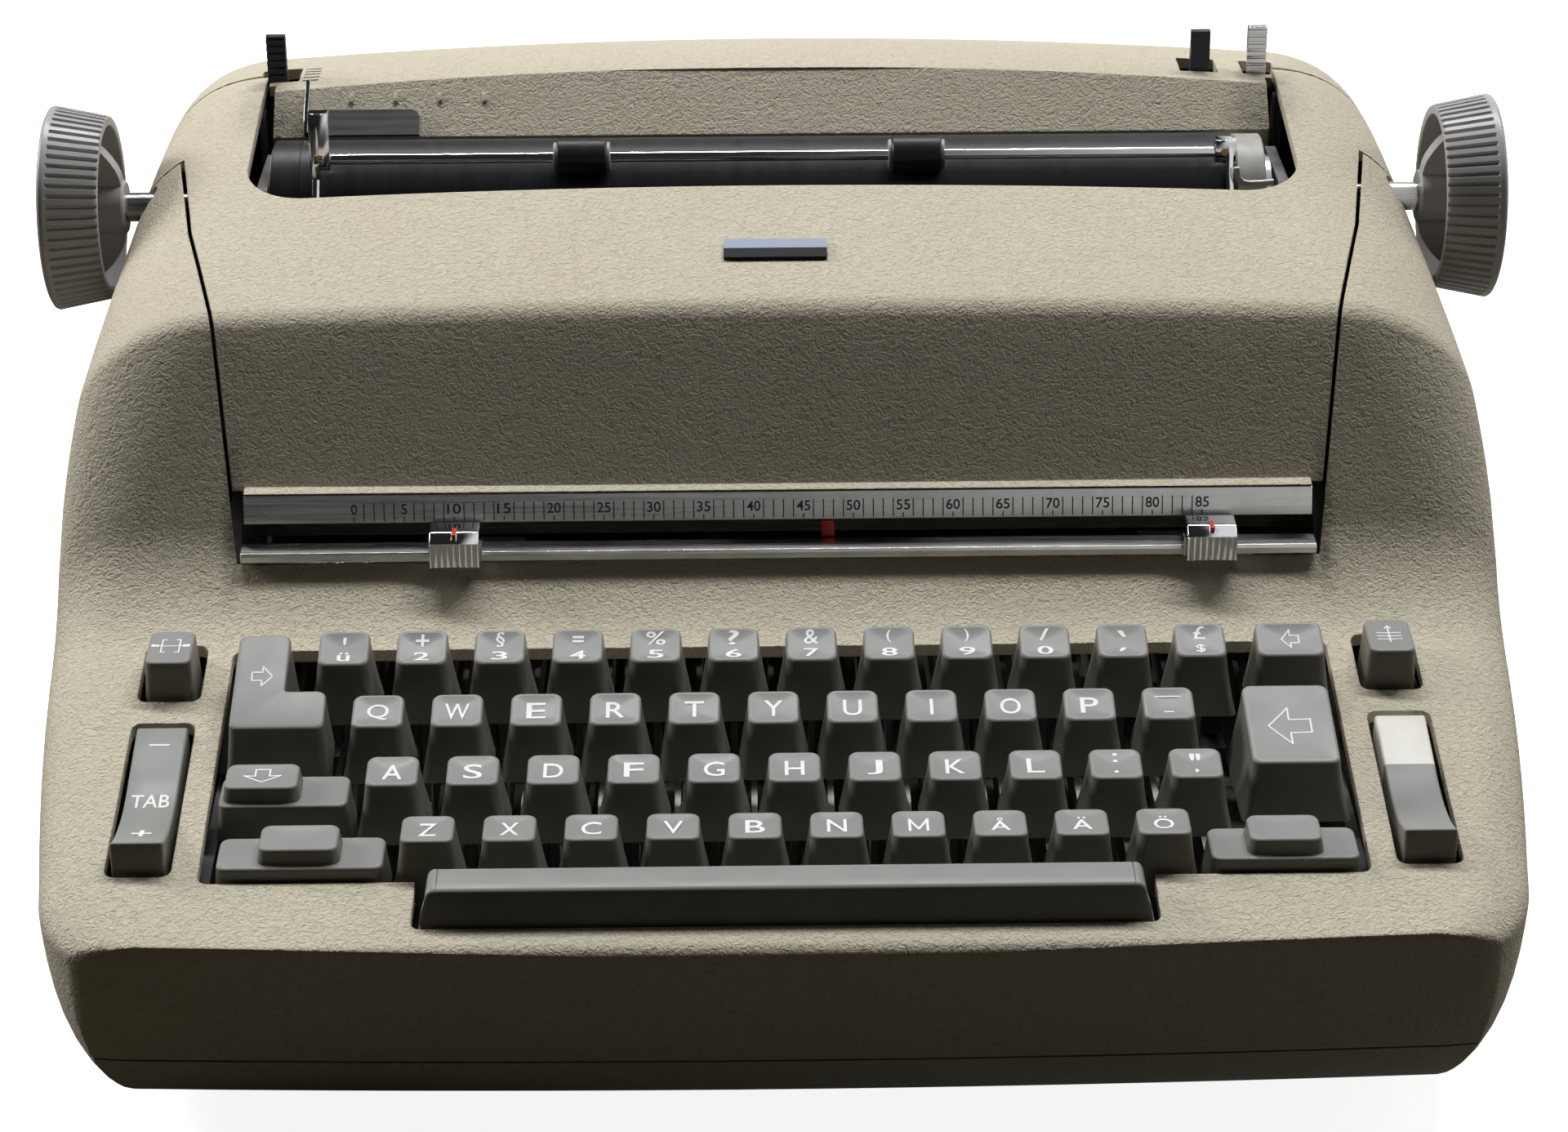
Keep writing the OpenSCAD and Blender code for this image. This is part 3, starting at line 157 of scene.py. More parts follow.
# Other rays meet a dark floor; for glossy rays it glows towards the right, a painted reflection of a bright wall
# there
sheet_side = add(sheet, "ShaderNodeSeparateXYZ", n0=sheet_place.outputs["Position"])
sheet_painted_glow_ramp = add(sheet, "ShaderNodeMapRange", n0=sheet_side.outputs["X"], n1=-0.1, n2=0.4, n4=0.6)
sheet_painted_glow_share = add(sheet, "ShaderNodeMath", {"operation": "MULTIPLY"}, n0=sheet_painted_glow_ramp.outputs["Result"],
                  n1=sheet_rays.outputs["Is Glossy Ray"])
sheet_painted_reflection_glow = add(sheet, "ShaderNodeEmission", Strength=sheet_painted_glow_share.outputs[0])
sheet_dark = add(sheet, "ShaderNodeBsdfDiffuse", Color=(0.07, 0.065, 0.05, 1))
sheet_other = add(sheet, "ShaderNodeAddShader", n0=sheet_dark.outputs[0], n1=sheet_painted_reflection_glow.outputs[0])
sheet_seen = add(sheet, "ShaderNodeMath", {"operation": "MAXIMUM"}, n0=sheet_rays.outputs["Is Camera Ray"],
                 n1=sheet_rays.outputs["Is Transmission Ray"])
sheet_mix = add(sheet, "ShaderNodeMixShader", n0=sheet_seen.outputs[0], n1=sheet_other.outputs[0],
                n2=sheet_sum.outputs[0])
add(sheet, "ShaderNodeOutputMaterial", Surface=sheet_mix.outputs[0])
floor.data.materials.append(floor_finish)


# The case: pressed and cast shells under a crinkle paint, baked on in one pale beige coat.
# The surface is leaned, tapered and rounded by the same rules as the construction, with a finer net.
HALF_WIDTH = 185.2
FRONT_Y = -187.0
BACK_Y = 187.0
BASE_Z = 10.0
SEAM_Z = 26.0
SEAM_GAP = 0.6
SKIN = 3.0
UNDERCUT_Z = 54.0
WIDEST_Z = 85.0
SIDE_LEAN = 11.5
FRONT_CORNER_L = 26.0
FRONT_CORNER_W = 16.0
REAR_CORNER_R = 35.0
DECK_Z = 58.7
DECK_SLOPE = math.radians(12.6)
FACE_SLOPE = math.radians(59)
TOP_SLOPE = math.radians(11.5)
SWEEP_R = 47.5
CREST_Y = -23.7
CREST_Z = 151.1
CREST_R = 9.0
CREASE_R = 4.0
CROWN_Y = 82.8
CROWN_R = 110.0
BACK_R = 60.0
CROWN_END = math.radians(70)
SLOT_HALF_X = 143.0


def lean(z):
    if z > WIDEST_Z:
        return HALF_WIDTH - SIDE_LEAN * ((z - WIDEST_Z) / 66) ** 2
    return HALF_WIDTH - 13 * ((WIDEST_Z - z) / 75) ** 4


def taper(y):
    if y < -20:
        return 10 * ((-20 - y) / 135) ** 2
    return 4.7 * ((y - 60) / 127) ** 2 if y > 60 else 0


def corner(d, length, width):
    return 0 if d >= length else width * (1 - math.sqrt(max(0, 1 - ((length - d) / length) ** 2)))


def low(z):
    return max(0, UNDERCUT_Z - z) / (UNDERCUT_Z - BASE_Z)


def half_width(y, z, t):
    front_gap = y - (FRONT_Y + 16.5 * low(z) ** 3) - t
    back_gap = BACK_Y - 14 * low(z) ** 3 - t - y
    side = (lean(z) - t - taper(y) - corner(front_gap, FRONT_CORNER_L, FRONT_CORNER_W) * (1 - 0.45 * low(z))
            - corner(back_gap, REAR_CORNER_R, REAR_CORNER_R))
    return min(side, 150 * math.sqrt(max(0.02, front_gap) / 3))


def deck_z(y):
    return DECK_Z + math.tan(DECK_SLOPE) * (y - FRONT_Y)


def top_z(y):
    return CREST_Z + math.tan(TOP_SLOPE) * (y - CREST_Y)


def arc(cy, cz, r, start, end, steps):
    return [(cy + r * math.cos(start + (end - start) * k / steps),
             cz + r * math.sin(start + (end - start) * k / steps))
            for k in range(steps + 1)]


def front_z(y):
    cy = FRONT_Y + CREASE_R
    cz = DECK_Z - CREASE_R / math.cos(DECK_SLOPE) + math.tan(DECK_SLOPE) * CREASE_R
    if y < cy - CREASE_R * math.sin(DECK_SLOPE):
        return cz + math.sqrt(max(0, CREASE_R ** 2 - (y - cy) ** 2))
    return deck_z(y)


sweep_meet = ((CREST_Z - DECK_Z - math.tan(FACE_SLOPE) * CREST_Y + math.tan(DECK_SLOPE) * FRONT_Y)
              / (math.tan(DECK_SLOPE) - math.tan(FACE_SLOPE)))
sweep_y0 = sweep_meet - SWEEP_R * math.tan((FACE_SLOPE - DECK_SLOPE) / 2) * math.cos(DECK_SLOPE)
sweep_cy = sweep_y0 - SWEEP_R * math.sin(DECK_SLOPE)
sweep_cz = deck_z(sweep_y0) + SWEEP_R * math.cos(DECK_SLOPE)
crest_run = CREST_R * math.tan((FACE_SLOPE - TOP_SLOPE) / 2)
crest_cy = CREST_Y + crest_run * math.cos(TOP_SLOPE) + CREST_R * math.sin(TOP_SLOPE)
crest_cz = CREST_Z + crest_run * math.sin(TOP_SLOPE) - CREST_R * math.cos(TOP_SLOPE)
crown_cy = CROWN_Y + CROWN_R * math.sin(TOP_SLOPE)
crown_cz = top_z(CROWN_Y) - CROWN_R * math.cos(TOP_SLOPE)
back_cy = crown_cy + (CROWN_R - BACK_R) * math.cos(CROWN_END)
back_cz = crown_cz + (CROWN_R - BACK_R) * math.sin(CROWN_END)
QUARTER = math.radians(90)


def middle_line():
    line = [(FRONT_Y + d, front_z(FRONT_Y + d)) for d in (0, 0.15, 0.3, 0.6, 1, 1.5, 2, 2.7, 3.4, 4.4, 5.5,
                                                          6.7, 8, 10, 12,
                                                          14, 16, 18.5, 21, 23.5, 26, 31, 36, 46, 56, 66, 76,
                                                          88)]
    line += arc(sweep_cy, sweep_cz, SWEEP_R, DECK_SLOPE - QUARTER, FACE_SLOPE - QUARTER, 20)
    line += [(crest_cy + CREST_R * math.cos(QUARTER + FACE_SLOPE) - f * 36 * math.cos(FACE_SLOPE),
              crest_cz + CREST_R * math.sin(QUARTER + FACE_SLOPE) - f * 36 * math.sin(FACE_SLOPE))
             for f in (0.8, 0.5, 0.25)]
    line += arc(crest_cy, crest_cz, CREST_R, QUARTER + FACE_SLOPE, QUARTER + TOP_SLOPE, 9)
    line += [(y, top_z(y)) for y in (-10, 0, 10, 20, 30, 40, 50, 60, 70)]
    line += arc(crown_cy, crown_cz, CROWN_R, QUARTER + TOP_SLOPE, CROWN_END, 16)
    roll = arc(back_cy, back_cz, BACK_R, CROWN_END, math.radians(10), 14)
    foot = (BACK_Y, roll[-1][1] - 34)
    line += roll[1:]
    line += [(roll[-1][0] + (foot[0] - roll[-1][0]) * k, roll[-1][1] + (foot[1] - roll[-1][1]) * k)
             for k in (0.25, 0.5, 0.75, 0.9)]
    return line + [foot]


def inset_line(line, t):
    moved = []
    for k, (y, z) in enumerate(line):
        if k == 0:
            moved.append((y + t, z))
        elif k == len(line) - 1:
            moved.append((y - t, z))
        else:
            dy = line[k + 1][0] - line[k - 1][0]
            dz = line[k + 1][1] - line[k - 1][1]
            run = math.hypot(dy, dz)
            moved.append((y + t * dz / run, z - t * dy / run))
    return moved


def rise(z):
    foot = deck_z(sweep_y0)
    return min(1, max(0, (z - foot) / (CREST_Z - foot)))


def crown_drop(x, y, z):
    return (2.6 * rise(z) + 0.019 * max(0, y)) * (x / SLOT_HALF_X) ** 2


SIDE_STEPS = 7
SHOULDER_STEPS = 12
CROWN_STEPS = 10


def half_ring(y, z, t):
    f = rise(z)
    g = min(1, max(0, y - 90) / 50)
    b = min(10 + 20 * f - 6 * g, (z - UNDERCUT_Z) * 0.8)
    a = min(14 + 26 * f - 8 * f * g - t, half_width(y, z - b, t) * 0.5)
    flat = half_width(y, z - b, t) - a
    side_top = z - crown_drop(flat, y, z) - b
    ring = []
    for k in range(SIDE_STEPS):
        h = UNDERCUT_Z + (side_top - UNDERCUT_Z) * k / SIDE_STEPS
        ring.append((half_width(y, h, t), h))
    for k in range(SHOULDER_STEPS + 1):
        turn = QUARTER * k / SHOULDER_STEPS
        ring.append((flat + a * math.cos(turn), side_top + b * math.sin(turn)))
    for k in range(CROWN_STEPS - 1, -1, -1):
        x = flat * k / CROWN_STEPS
        ring.append((x, z - crown_drop(x, y, z)))
    return ring


LOW_STEPS = (0, 0.04, 0.1, 0.18, 0.28, 0.4, 0.53, 0.66, 0.8, 0.91, 1)


def low_y(y, z, t):
    return (y + 16.5 * low(z) ** 3 * max(0, 1 - (y - FRONT_Y - t) / 60)
            - 14 * low(z) ** 3 * max(0, 1 - (BACK_Y - t - y) / 60))


def net_form(form, rings):
    # A net of faces through rings of points in millimetres, each with the same count of points
    columns = len(rings[0])
    net = bmesh.ops.create_grid(form, x_segments=columns - 1, y_segments=len(rings) - 1, size=1)["verts"]
    for k, vert in enumerate(net):
        vert.co = Vector(rings[k // columns][k % columns]) * MM
    return net


def close_holes(form):
    bmesh.ops.holes_fill(form, edges=[e for e in form.edges if len(e.link_faces) == 1], sides=0)


def case_skin(form, t):
    # One closed net, t millimetres inside the outer surface: an upper grid, a lower grid and three end faces
    line = inset_line(middle_line(), t)
    halves = [half_ring(y, z, t) for y, z in line]
    rings = [[(-x, y, z) for x, z in half[:-1]] + [(x, y, z) for x, z in reversed(half)]
             for (y, _), half in zip(line, halves)]
    upper = net_form(form, rings)
    floor_z = BASE_Z + t
    stations = [y for y, _ in line]
    loop = [(1, y) for y in stations] + [(-1, y) for y in reversed(stations)] + [(1, stations[0])]
    levels = [floor_z + (UNDERCUT_Z - floor_z) * step for step in LOW_STEPS]
    lower = net_form(form, [[(side * half_width(low_y(y, z, t), z, t), low_y(y, z, t), z) for side,
                             y in loop] for z in levels])
    bmesh.ops.remove_doubles(form, verts=upper + lower, dist=2e-6)
    close_holes(form)


def body_mesh(name, fill):
    form = bmesh.new()
    fill(form)
    bmesh.ops.recalc_face_normals(form, faces=form.faces)
    return made_mesh(form, name)


def eased(form, edges, r, steps=2):
    # Rounds the edges by r millimetres
    bmesh.ops.bevel(form, geom=list(edges), offset=r * MM, affect="EDGES", segments=steps, profile=0.5,
                    material=-1)


def block(form, x0, x1, y0, y1, z0, z1, r=0.0, steps=5):
    # A box in millimetres, with its upright edges rounded by r
    made = bmesh.ops.create_cube(form, size=1)["verts"]
    for vert in made:
        vert.co = Vector((x1 if vert.co.x > 0 else x0, y1 if vert.co.y > 0 else y0,
                          z1 if vert.co.z > 0 else z0)) * MM
    if r:
        upright_edges = [e for e in {e for v in made for e in v.link_edges}
                         if abs(e.verts[0].co.z - e.verts[1].co.z) > 0.5 * abs(z1 - z0) * MM]
        eased(form, upright_edges, r, steps)


def drum(form, x0, x1, y, z, r, steps=64, r_end=None):
    # A round bar along X, in millimetres
    turn = Matrix.Translation(Vector(((x0 + x1) / 2, y, z)) * MM) @ Matrix.Rotation(QUARTER, 4, "Y")
    return bmesh.ops.create_cone(form, cap_ends=True, segments=steps, radius1=r * MM,
                                 radius2=(r if r_end is None else r_end) * MM, depth=(x1 - x0) * MM,
                                 matrix=turn)["verts"]


def sheet_form(form, outline, axis, start, end):
    # A plate with the given outline, drawn out along X (outline in Y and Z), Y (in X and Z) or Z (in X and Y)
    place = {"X": lambda a, b, c: (c, a, b), "Y": lambda a, b, c: (a, c, b), "Z": lambda a, b,
             c: (a, b, c)}[axis]
    verts = [form.verts.new(Vector(place(a, b, start)) * MM) for a, b in outline]
    drawn = bmesh.ops.extrude_face_region(form, geom=[form.faces.new(verts)])["geom"]
    moved = [g for g in drawn if isinstance(g, bmesh.types.BMVert)]
    bmesh.ops.translate(form, verts=moved, vec=Vector(place(0, 0, end - start)) * MM)
    return verts + moved


def carved(name, mesh, steps):
    # The mesh after its cuts and joins, each step a pair of an operation and a tool's mesh
    blank = bpy.data.objects.new(name, mesh)
    bpy.context.collection.objects.link(blank)
    tools = []
    for how, tool_mesh in steps:
        tool = bpy.data.objects.new(name + "_tool", tool_mesh)
        bpy.context.collection.objects.link(tool)
        step = blank.modifiers.new(how, "BOOLEAN")
        step.operation = how
        step.object = tool
        step.solver = "MANIFOLD"
        tools.append(tool)
    bpy.context.view_layer.update()
    result = bpy.data.meshes.new_from_object(blank.evaluated_get(bpy.context.evaluated_depsgraph_get()))
    result.name = name
    for used in tools + [blank]:
        bpy.data.objects.remove(used)
    return result


HINGE_Y = 98.0
HINGE_Z = 161.5
EAR_R = 31.2
KNUCKLE_R = 10.5
LIP_Y = 96.0
RAIL_FRONT_Y = -59.8
LID_SIDES = ((136.5, RAIL_FRONT_Y + 1.3), (143.8, CREST_Y - 2), (154.94, 20), (163, HINGE_Y - EAR_R))


def lid_zone(g, back):
    # The space of the lid, grown by g all round, as a plain prism and its two round ears
    sides = [(x + g, y - (g if k == 3 else 0)) for k,
             (x, y) in enumerate(LID_SIDES)] + [(LID_SIDES[-1][0] + g, back)]
    outline = sides + [(-x, y) for x, y in reversed(sides)]

    def prism(form):
        sheet_form(form, outline, "Z", 60, 200)
    joins = []
    for side in (-1, 1):
        x0, x1 = sorted((side * (SLOT_HALF_X - g), side * 200))
        joins.append(("UNION", body_mesh("knuckle",
                                         lambda form: drum(form, x0, x1, HINGE_Y, HINGE_Z, KNUCKLE_R + g,
                                                           96))))
        ear = carved("ear", body_mesh("ear", lambda form: drum(form, x0, x1, HINGE_Y, HINGE_Z, EAR_R + g,
                                                               128)),
                     [("INTERSECT", body_mesh("ear_half",
                                              lambda form: block(form, x0 - 1, x1 + 1, 0, HINGE_Y + g, 0,
                                                                 220)))])
        joins.append(("UNION", ear))
    return carved("lid_zone", body_mesh("lid_prism", prism), joins)


shell = carved("shell", body_mesh("outer_skin", lambda form: case_skin(form, 0)),
               [("DIFFERENCE", body_mesh("inner_skin", lambda form: case_skin(form, SKIN)))])

# The crinkle paint: a fine wrinkled skin with painted shade in its valleys, darkened in specks round the corners of
# the slot.
def shader_group(name, ins, outs):
    tree = bpy.data.node_groups.new(name, "ShaderNodeTree")
    kinds = {"value": "NodeSocketFloat", "colour": "NodeSocketColor", "vector": "NodeSocketVector"}
    for label, kind, start in ins:
        tree.interface.new_socket(label, in_out="INPUT", socket_type=kinds[kind]).default_value = start
    for label, kind in outs:
        tree.interface.new_socket(label, in_out="OUTPUT", socket_type=kinds[kind])
    return tree, tree.nodes.new("NodeGroupInput"), tree.nodes.new("NodeGroupOutput")


def grain_group():
    # Wrinkles of about a millimetre, worked from two noises, with a mask of their valleys for painted shade; also a
    # slow mottling of the colour
    tree, given, out = shader_group("wrinkle_grain", [("Scale", "value", 900.0), ("Mottle", "value", 30.0)],
                                    [("Height", "value"), ("Valley shade", "value"), ("Mottling", "value")])
    place = add(tree, "ShaderNodeTexCoord")
    fine = add(tree, "ShaderNodeTexNoise", Vector=place.outputs["Object"], Scale=given.outputs["Scale"],
               Detail=2.5,
               Roughness=0.6, Distortion=1.1)
    slow = add(tree, "ShaderNodeTexNoise", Vector=place.outputs["Object"], Scale=given.outputs["Mottle"],
               Detail=4.0)
    ramp = add(tree, "ShaderNodeMapRange", n0=fine.outputs["Fac"], n1=0.3, n2=0.62)
    tree.links.new(ramp.outputs["Result"], out.inputs["Height"])
    deep = add(tree, "ShaderNodeMapRange", n0=fine.outputs["Fac"], n1=0.48, n2=0.3)
    tree.links.new(deep.outputs["Result"], out.inputs["Valley shade"])
    tree.links.new(slow.outputs["Fac"], out.inputs["Mottling"])
    return tree


wrinkle_grain = grain_group()


def stain_group():
    # Darkening round one place, broken up in specks, thinning out with the distance
    tree, given, out = shader_group("darkened_patch",
                                    [("Place", "vector", (0, 0, 0)), ("Spread", "vector", (1, 1, 1))],
                                    [("Darkening", "value")])
    place = add(tree, "ShaderNodeTexCoord")
    off = add(tree, "ShaderNodeVectorMath", {"operation": "SUBTRACT"}, n0=place.outputs["Object"],
              n1=given.outputs["Place"])
    scaled = add(tree, "ShaderNodeVectorMath", {"operation": "DIVIDE"}, n0=off.outputs[0],
                 n1=given.outputs["Spread"])
    reach = add(tree, "ShaderNodeVectorMath", {"operation": "LENGTH"}, n0=scaled.outputs[0])
    specks = add(tree, "ShaderNodeTexNoise", Vector=place.outputs["Object"], Scale=350.0, Detail=5.0,
                 Roughness=0.7)
    fade = add(tree, "ShaderNodeMapRange", {"interpolation_type": "SMOOTHSTEP"}, n0=reach.outputs["Value"],
               n1=1.0, n2=0.2)
    broken = add(tree, "ShaderNodeMath", {"operation": "MULTIPLY_ADD"}, n0=specks.outputs["Fac"], n1=1.4,
                 n2=-0.25)
    darkening = add(tree, "ShaderNodeMath", {"operation": "MULTIPLY", "use_clamp": True},
                n0=fade.outputs["Result"],
                n1=broken.outputs[0])
    tree.links.new(darkening.outputs[0], out.inputs["Darkening"])
    return tree


darkened_patch = stain_group()


def new_finish(name):
    made = bpy.data.materials.new(name)
    made.use_nodes = True
    tree = made.node_tree
    return made, tree, tree.nodes["Principled BSDF"]


def put_group(tree, group, **sockets):
    return add(tree, "ShaderNodeGroup", {"node_tree": group}, **sockets)


def mixed_colour(tree, amount, first, second):
    return add(tree, "ShaderNodeMix", {"data_type": "RGBA"}, n0=amount, n6=first, n7=second).outputs[2]


def multiplied(tree, mask, share):
    return add(tree, "ShaderNodeMath", {"operation": "MULTIPLY"}, n0=mask, n1=share).outputs[0]


PAINT_COLOUR = (0.615, 0.565, 0.445, 1)
PAINT_VALLEY_SHADE = (0.36, 0.31, 0.21, 1)
PAINT_DARKENED = (0.045, 0.036, 0.026, 1)
paint, paint_tree, paint_shader = new_finish("crinkle_paint")
paint_grain = put_group(paint_tree, wrinkle_grain, Scale=760.0, Mottle=26.0)
# Painted shade: the colour darkens in the valleys of the wrinkles
paint_valley_shaded = mixed_colour(paint_tree, multiplied(paint_tree, paint_grain.outputs["Valley shade"], 0.45),
                          PAINT_COLOUR, PAINT_VALLEY_SHADE)
paint_mottled = mixed_colour(paint_tree, add(paint_tree, "ShaderNodeMapRange",
                                             n0=paint_grain.outputs["Mottling"], n1=0.35,
                                             n2=0.75, n3=0.0, n4=0.22).outputs["Result"], paint_valley_shaded,
                                             (0.5, 0.44, 0.32, 1))
paint_darkened = paint_mottled
# The colour darkens round the four corners of the slot
for darkening_at, darkening_size in (((-0.139, 0.086, 0.158), (0.017, 0.03, 0.02)),
                             ((0.139, 0.088, 0.16), (0.015, 0.03, 0.02)),
                             ((-0.1389, -0.054, 0.112), (0.004, 0.02, 0.06)),
                             ((0.1389, -0.054, 0.112), (0.004, 0.02, 0.06))):
    paint_darkening = put_group(paint_tree, darkened_patch, Place=darkening_at, Spread=darkening_size)
    paint_darkened = mixed_colour(paint_tree, paint_darkening.outputs["Darkening"], paint_darkened, PAINT_DARKENED)
paint_tree.links.new(paint_darkened, paint_shader.inputs["Base Color"])
paint_shader.inputs["Roughness"].default_value = 0.62
paint_shader.inputs["Specular IOR Level"].default_value = 0.25
paint_edge = add(paint_tree, "ShaderNodeBevel", {"samples": 4}, Radius=0.0007)
paint_bump = add(paint_tree, "ShaderNodeBump", Strength=0.8, Distance=0.0003,
                 Height=paint_grain.outputs["Height"],
                 Normal=paint_edge.outputs["Normal"])
paint_tree.links.new(paint_bump.outputs["Normal"], paint_shader.inputs["Normal"])


def coated(form, known, slot):
    # The faces that are not in the known set get the material of another slot
    for made in form.faces:
        if made not in known:
            made.material_index = slot


def piece(name, mesh, finish, body, replaced=(), sharp=35):
    # One finished piece: smooth faces with sharp corners kept, its material, and what it rides on and replaces
    holder = bpy.data.objects.new(name, mesh)
    bpy.context.collection.objects.link(holder)
    coat_of_face = [0] * len(mesh.polygons)
    mesh.polygons.foreach_get("material_index", coat_of_face)
    mesh.materials.clear()
    for coat in (finish if isinstance(finish, (list, tuple)) else [finish]):
        mesh.materials.append(coat)
    mesh.polygons.foreach_set("material_index", coat_of_face)
    mesh.polygons.foreach_set("use_smooth", [True] * len(mesh.polygons))
    mesh.set_sharp_from_angle(angle=math.radians(sharp))
    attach(holder, body)
    if replaced:
        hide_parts(*replaced)
    return holder


# The main case: one casting with the keyboard well, holes for the side keys, slots for the rear levers,
# and the sloping plate behind the platen that leads the paper down.
KEY_WELL_X = 136.4
KEY_WELL_FRONT = -163.7
SPACE_WELL_X = 85.8
SPACE_WELL_FRONT = -179.0
SIDE_HOLE_X = (142.7, 158.3)
SMALL_HOLE_Y = (-100.4, -79.6)
ROCKER_HOLE_Y = (-161.2, -108.2)
LEVER_SLOT_Y = (98.6, 110.6)
LEVER_W = 5.4
COPY_LEVER_X = -140.0
SPACE_LEVER_X = 121.9
RELEASE_LEVER_X = 138.0
PLATEN_Y = 63.0
PLATEN_Z = 146.6
PLATEN_R = 18.0
SHAFT_R = 4.0
INLET_X = 105.0
INLET_Z = 58.0
LIP_FOOT = (81.5, 160.0)
LIP_TAIL = (83.5, 147.0)
LIP_X = 140.0
lip_top = crown_cz + math.sqrt(CROWN_R ** 2 - (LIP_Y - crown_cy) ** 2) - 0.5
case_cuts = [lambda f: block(f, -240, 240, -240, 240, 0, SEAM_Z + SEAM_GAP),
             lambda f: block(f, -KEY_WELL_X, KEY_WELL_X, KEY_WELL_FRONT, sweep_y0 + 0.5, 30, 120, 2.5),
             lambda f: block(f, -SPACE_WELL_X, SPACE_WELL_X, SPACE_WELL_FRONT, KEY_WELL_FRONT + 6, 30, 120,
                             2),
             lambda f: block(f, INLET_X - 14, INLET_X + 14, BACK_Y - 20, BACK_Y + 10, INLET_Z - 10,
                             INLET_Z + 10)]
for side in (-1, 1):
    hole = sorted((side * SIDE_HOLE_X[0], side * SIDE_HOLE_X[1]))
    case_cuts.append(lambda f, h=hole: block(f, h[0], h[1], SMALL_HOLE_Y[0], SMALL_HOLE_Y[1], 30, 120, 2.5))
    case_cuts.append(lambda f, h=hole: block(f, h[0], h[1], ROCKER_HOLE_Y[0], ROCKER_HOLE_Y[1], 30, 120, 2.5))
    case_cuts.append(lambda f, s=side: drum(f, *sorted((s * 150, s * 200)), PLATEN_Y, PLATEN_Z, SHAFT_R + 1.5,
                                            48))
for slot_x, more_left, more_right in ((COPY_LEVER_X, 2.4, 3.4), (SPACE_LEVER_X, 3, 2.4),
                                      (RELEASE_LEVER_X, 1.2, 3)):
    case_cuts.append(lambda f, x=slot_x, a=more_left, b=more_right: block(
        f, x - LEVER_W / 2 - a, x + LEVER_W / 2 + b, LEVER_SLOT_Y[0], LEVER_SLOT_Y[1], 120, 200, 0.6))


def lip_bar(form):
    outline = [(LIP_Y, 190), (LIP_Y, lip_top), LIP_FOOT, LIP_TAIL, (LIP_TAIL[0] + SKIN, LIP_TAIL[1]),
               (LIP_FOOT[0] + SKIN, LIP_FOOT[1] - 0.8), (LIP_Y + 2.4, lip_top - 2), (LIP_Y + 2.4, 190)]
    sheet_form(form, outline, "X", -LIP_X, LIP_X)


lip = carved("lip", body_mesh("lip_bar", lip_bar),
             [("INTERSECT", body_mesh("whole_skin", lambda form: case_skin(form, 0)))])
main_case = carved("main_case_skin", shell,
                   [("DIFFERENCE", body_mesh("case_cut", cut)) for cut in case_cuts]
                   + [("DIFFERENCE", lid_zone(1, LIP_Y)), ("UNION", lip)])


def coat_inside(mesh, kept=None):
    # The second material goes on the faces that lie deeper than the shell is thick: near black, painted shade on the
    # inside
    for part in mesh.polygons:
        middle = part.center
        deep = outer_skin.find_nearest(middle)[3] > 0.6 * SKIN * MM
        part.material_index = 1 if deep and not (kept and kept(middle / MM)) else 0


skin_form = bmesh.new()
case_skin(skin_form, 0)
outer_skin = BVHTree.FromBMesh(skin_form)
skin_form.free()


def mottled_finish(name, scale, mottle, first, second, rough, bump=0.0, depth=0.0002):
    # A plain dark finish with slow mottling, and the paint's wrinkles where a bump is given
    made, tree, shader = new_finish(name)
    grain = put_group(tree, wrinkle_grain, Scale=scale, Mottle=mottle)
    tree.links.new(mixed_colour(tree, grain.outputs["Mottling"], first, second), shader.inputs["Base Color"])
    shader.inputs["Roughness"].default_value = rough
    if bump:
        relief = add(tree, "ShaderNodeBump", Strength=bump, Distance=depth, Height=grain.outputs["Height"])
        tree.links.new(relief.outputs["Normal"], shader.inputs["Normal"])
    return made


# Near black painted shade for the shells' insides; the index lines below use it as their dark colour
inside_shade_and_line_black = mottled_finish("inside_shade_and_line_black", 400.0, 40.0, (0.012, 0.011, 0.01, 1), (0.035, 0.031, 0.026, 1),
                             0.8)
coat_inside(main_case, lambda p: p.z > 145 and 80 < p.y < 98)
piece("main_case_skin", main_case, [paint, inside_shade_and_line_black], "chassis", ["main_case"])

# Five dark index lines are cut in the case beside the left rear lever.
def index_lines(form):
    for k in range(5):
        y = 98.8 + 2.6 * k
        known = set(form.verts)
        bmesh.ops.create_grid(form, x_segments=6, y_segments=1, size=0.5)
        for vert in [v for v in form.verts if v not in known]:
            spot = Vector((-130.6 + 4.6 * vert.co.x, y + 0.75 * vert.co.y, 0))
            hit = outer_skin.ray_cast(Vector((spot.x * MM, spot.y * MM, 0.3)), Vector((0, 0, -1)))
            vert.co = hit[0] + Vector((0, 0, 0.04 * MM))


piece("index_lines", body_mesh("index_lines", index_lines), inside_shade_and_line_black, "chassis")

# The cover: one pressing from the writing scale over the crest to the paper slot, with two arms back to its hinges.
# Ribs are fixed across its inside.
LID_FRONT_Z = 110.4
SLOT_FRONT_Y = 32.4
SLOT_CORNER_R = 17.0


def cover_ribs(form):
    for x in (-120, -80, -40, 0, 40, 80, 120):
        outline = []
        for y in (-14, SLOT_FRONT_Y - 6):
            low_edge = top_z(y) - SKIN - 3.2 - crown_drop(x, y, top_z(y))
            outline += [(y, low_edge), (y + 2, low_edge)]
        front, rear = outline[:2], outline[2:]
        sheet_form(form, [front[0], rear[1], (rear[1][0], rear[1][1] + 3.4),
                          (front[0][0], front[0][1] + 3.4)], "X", x - 1, x + 1)


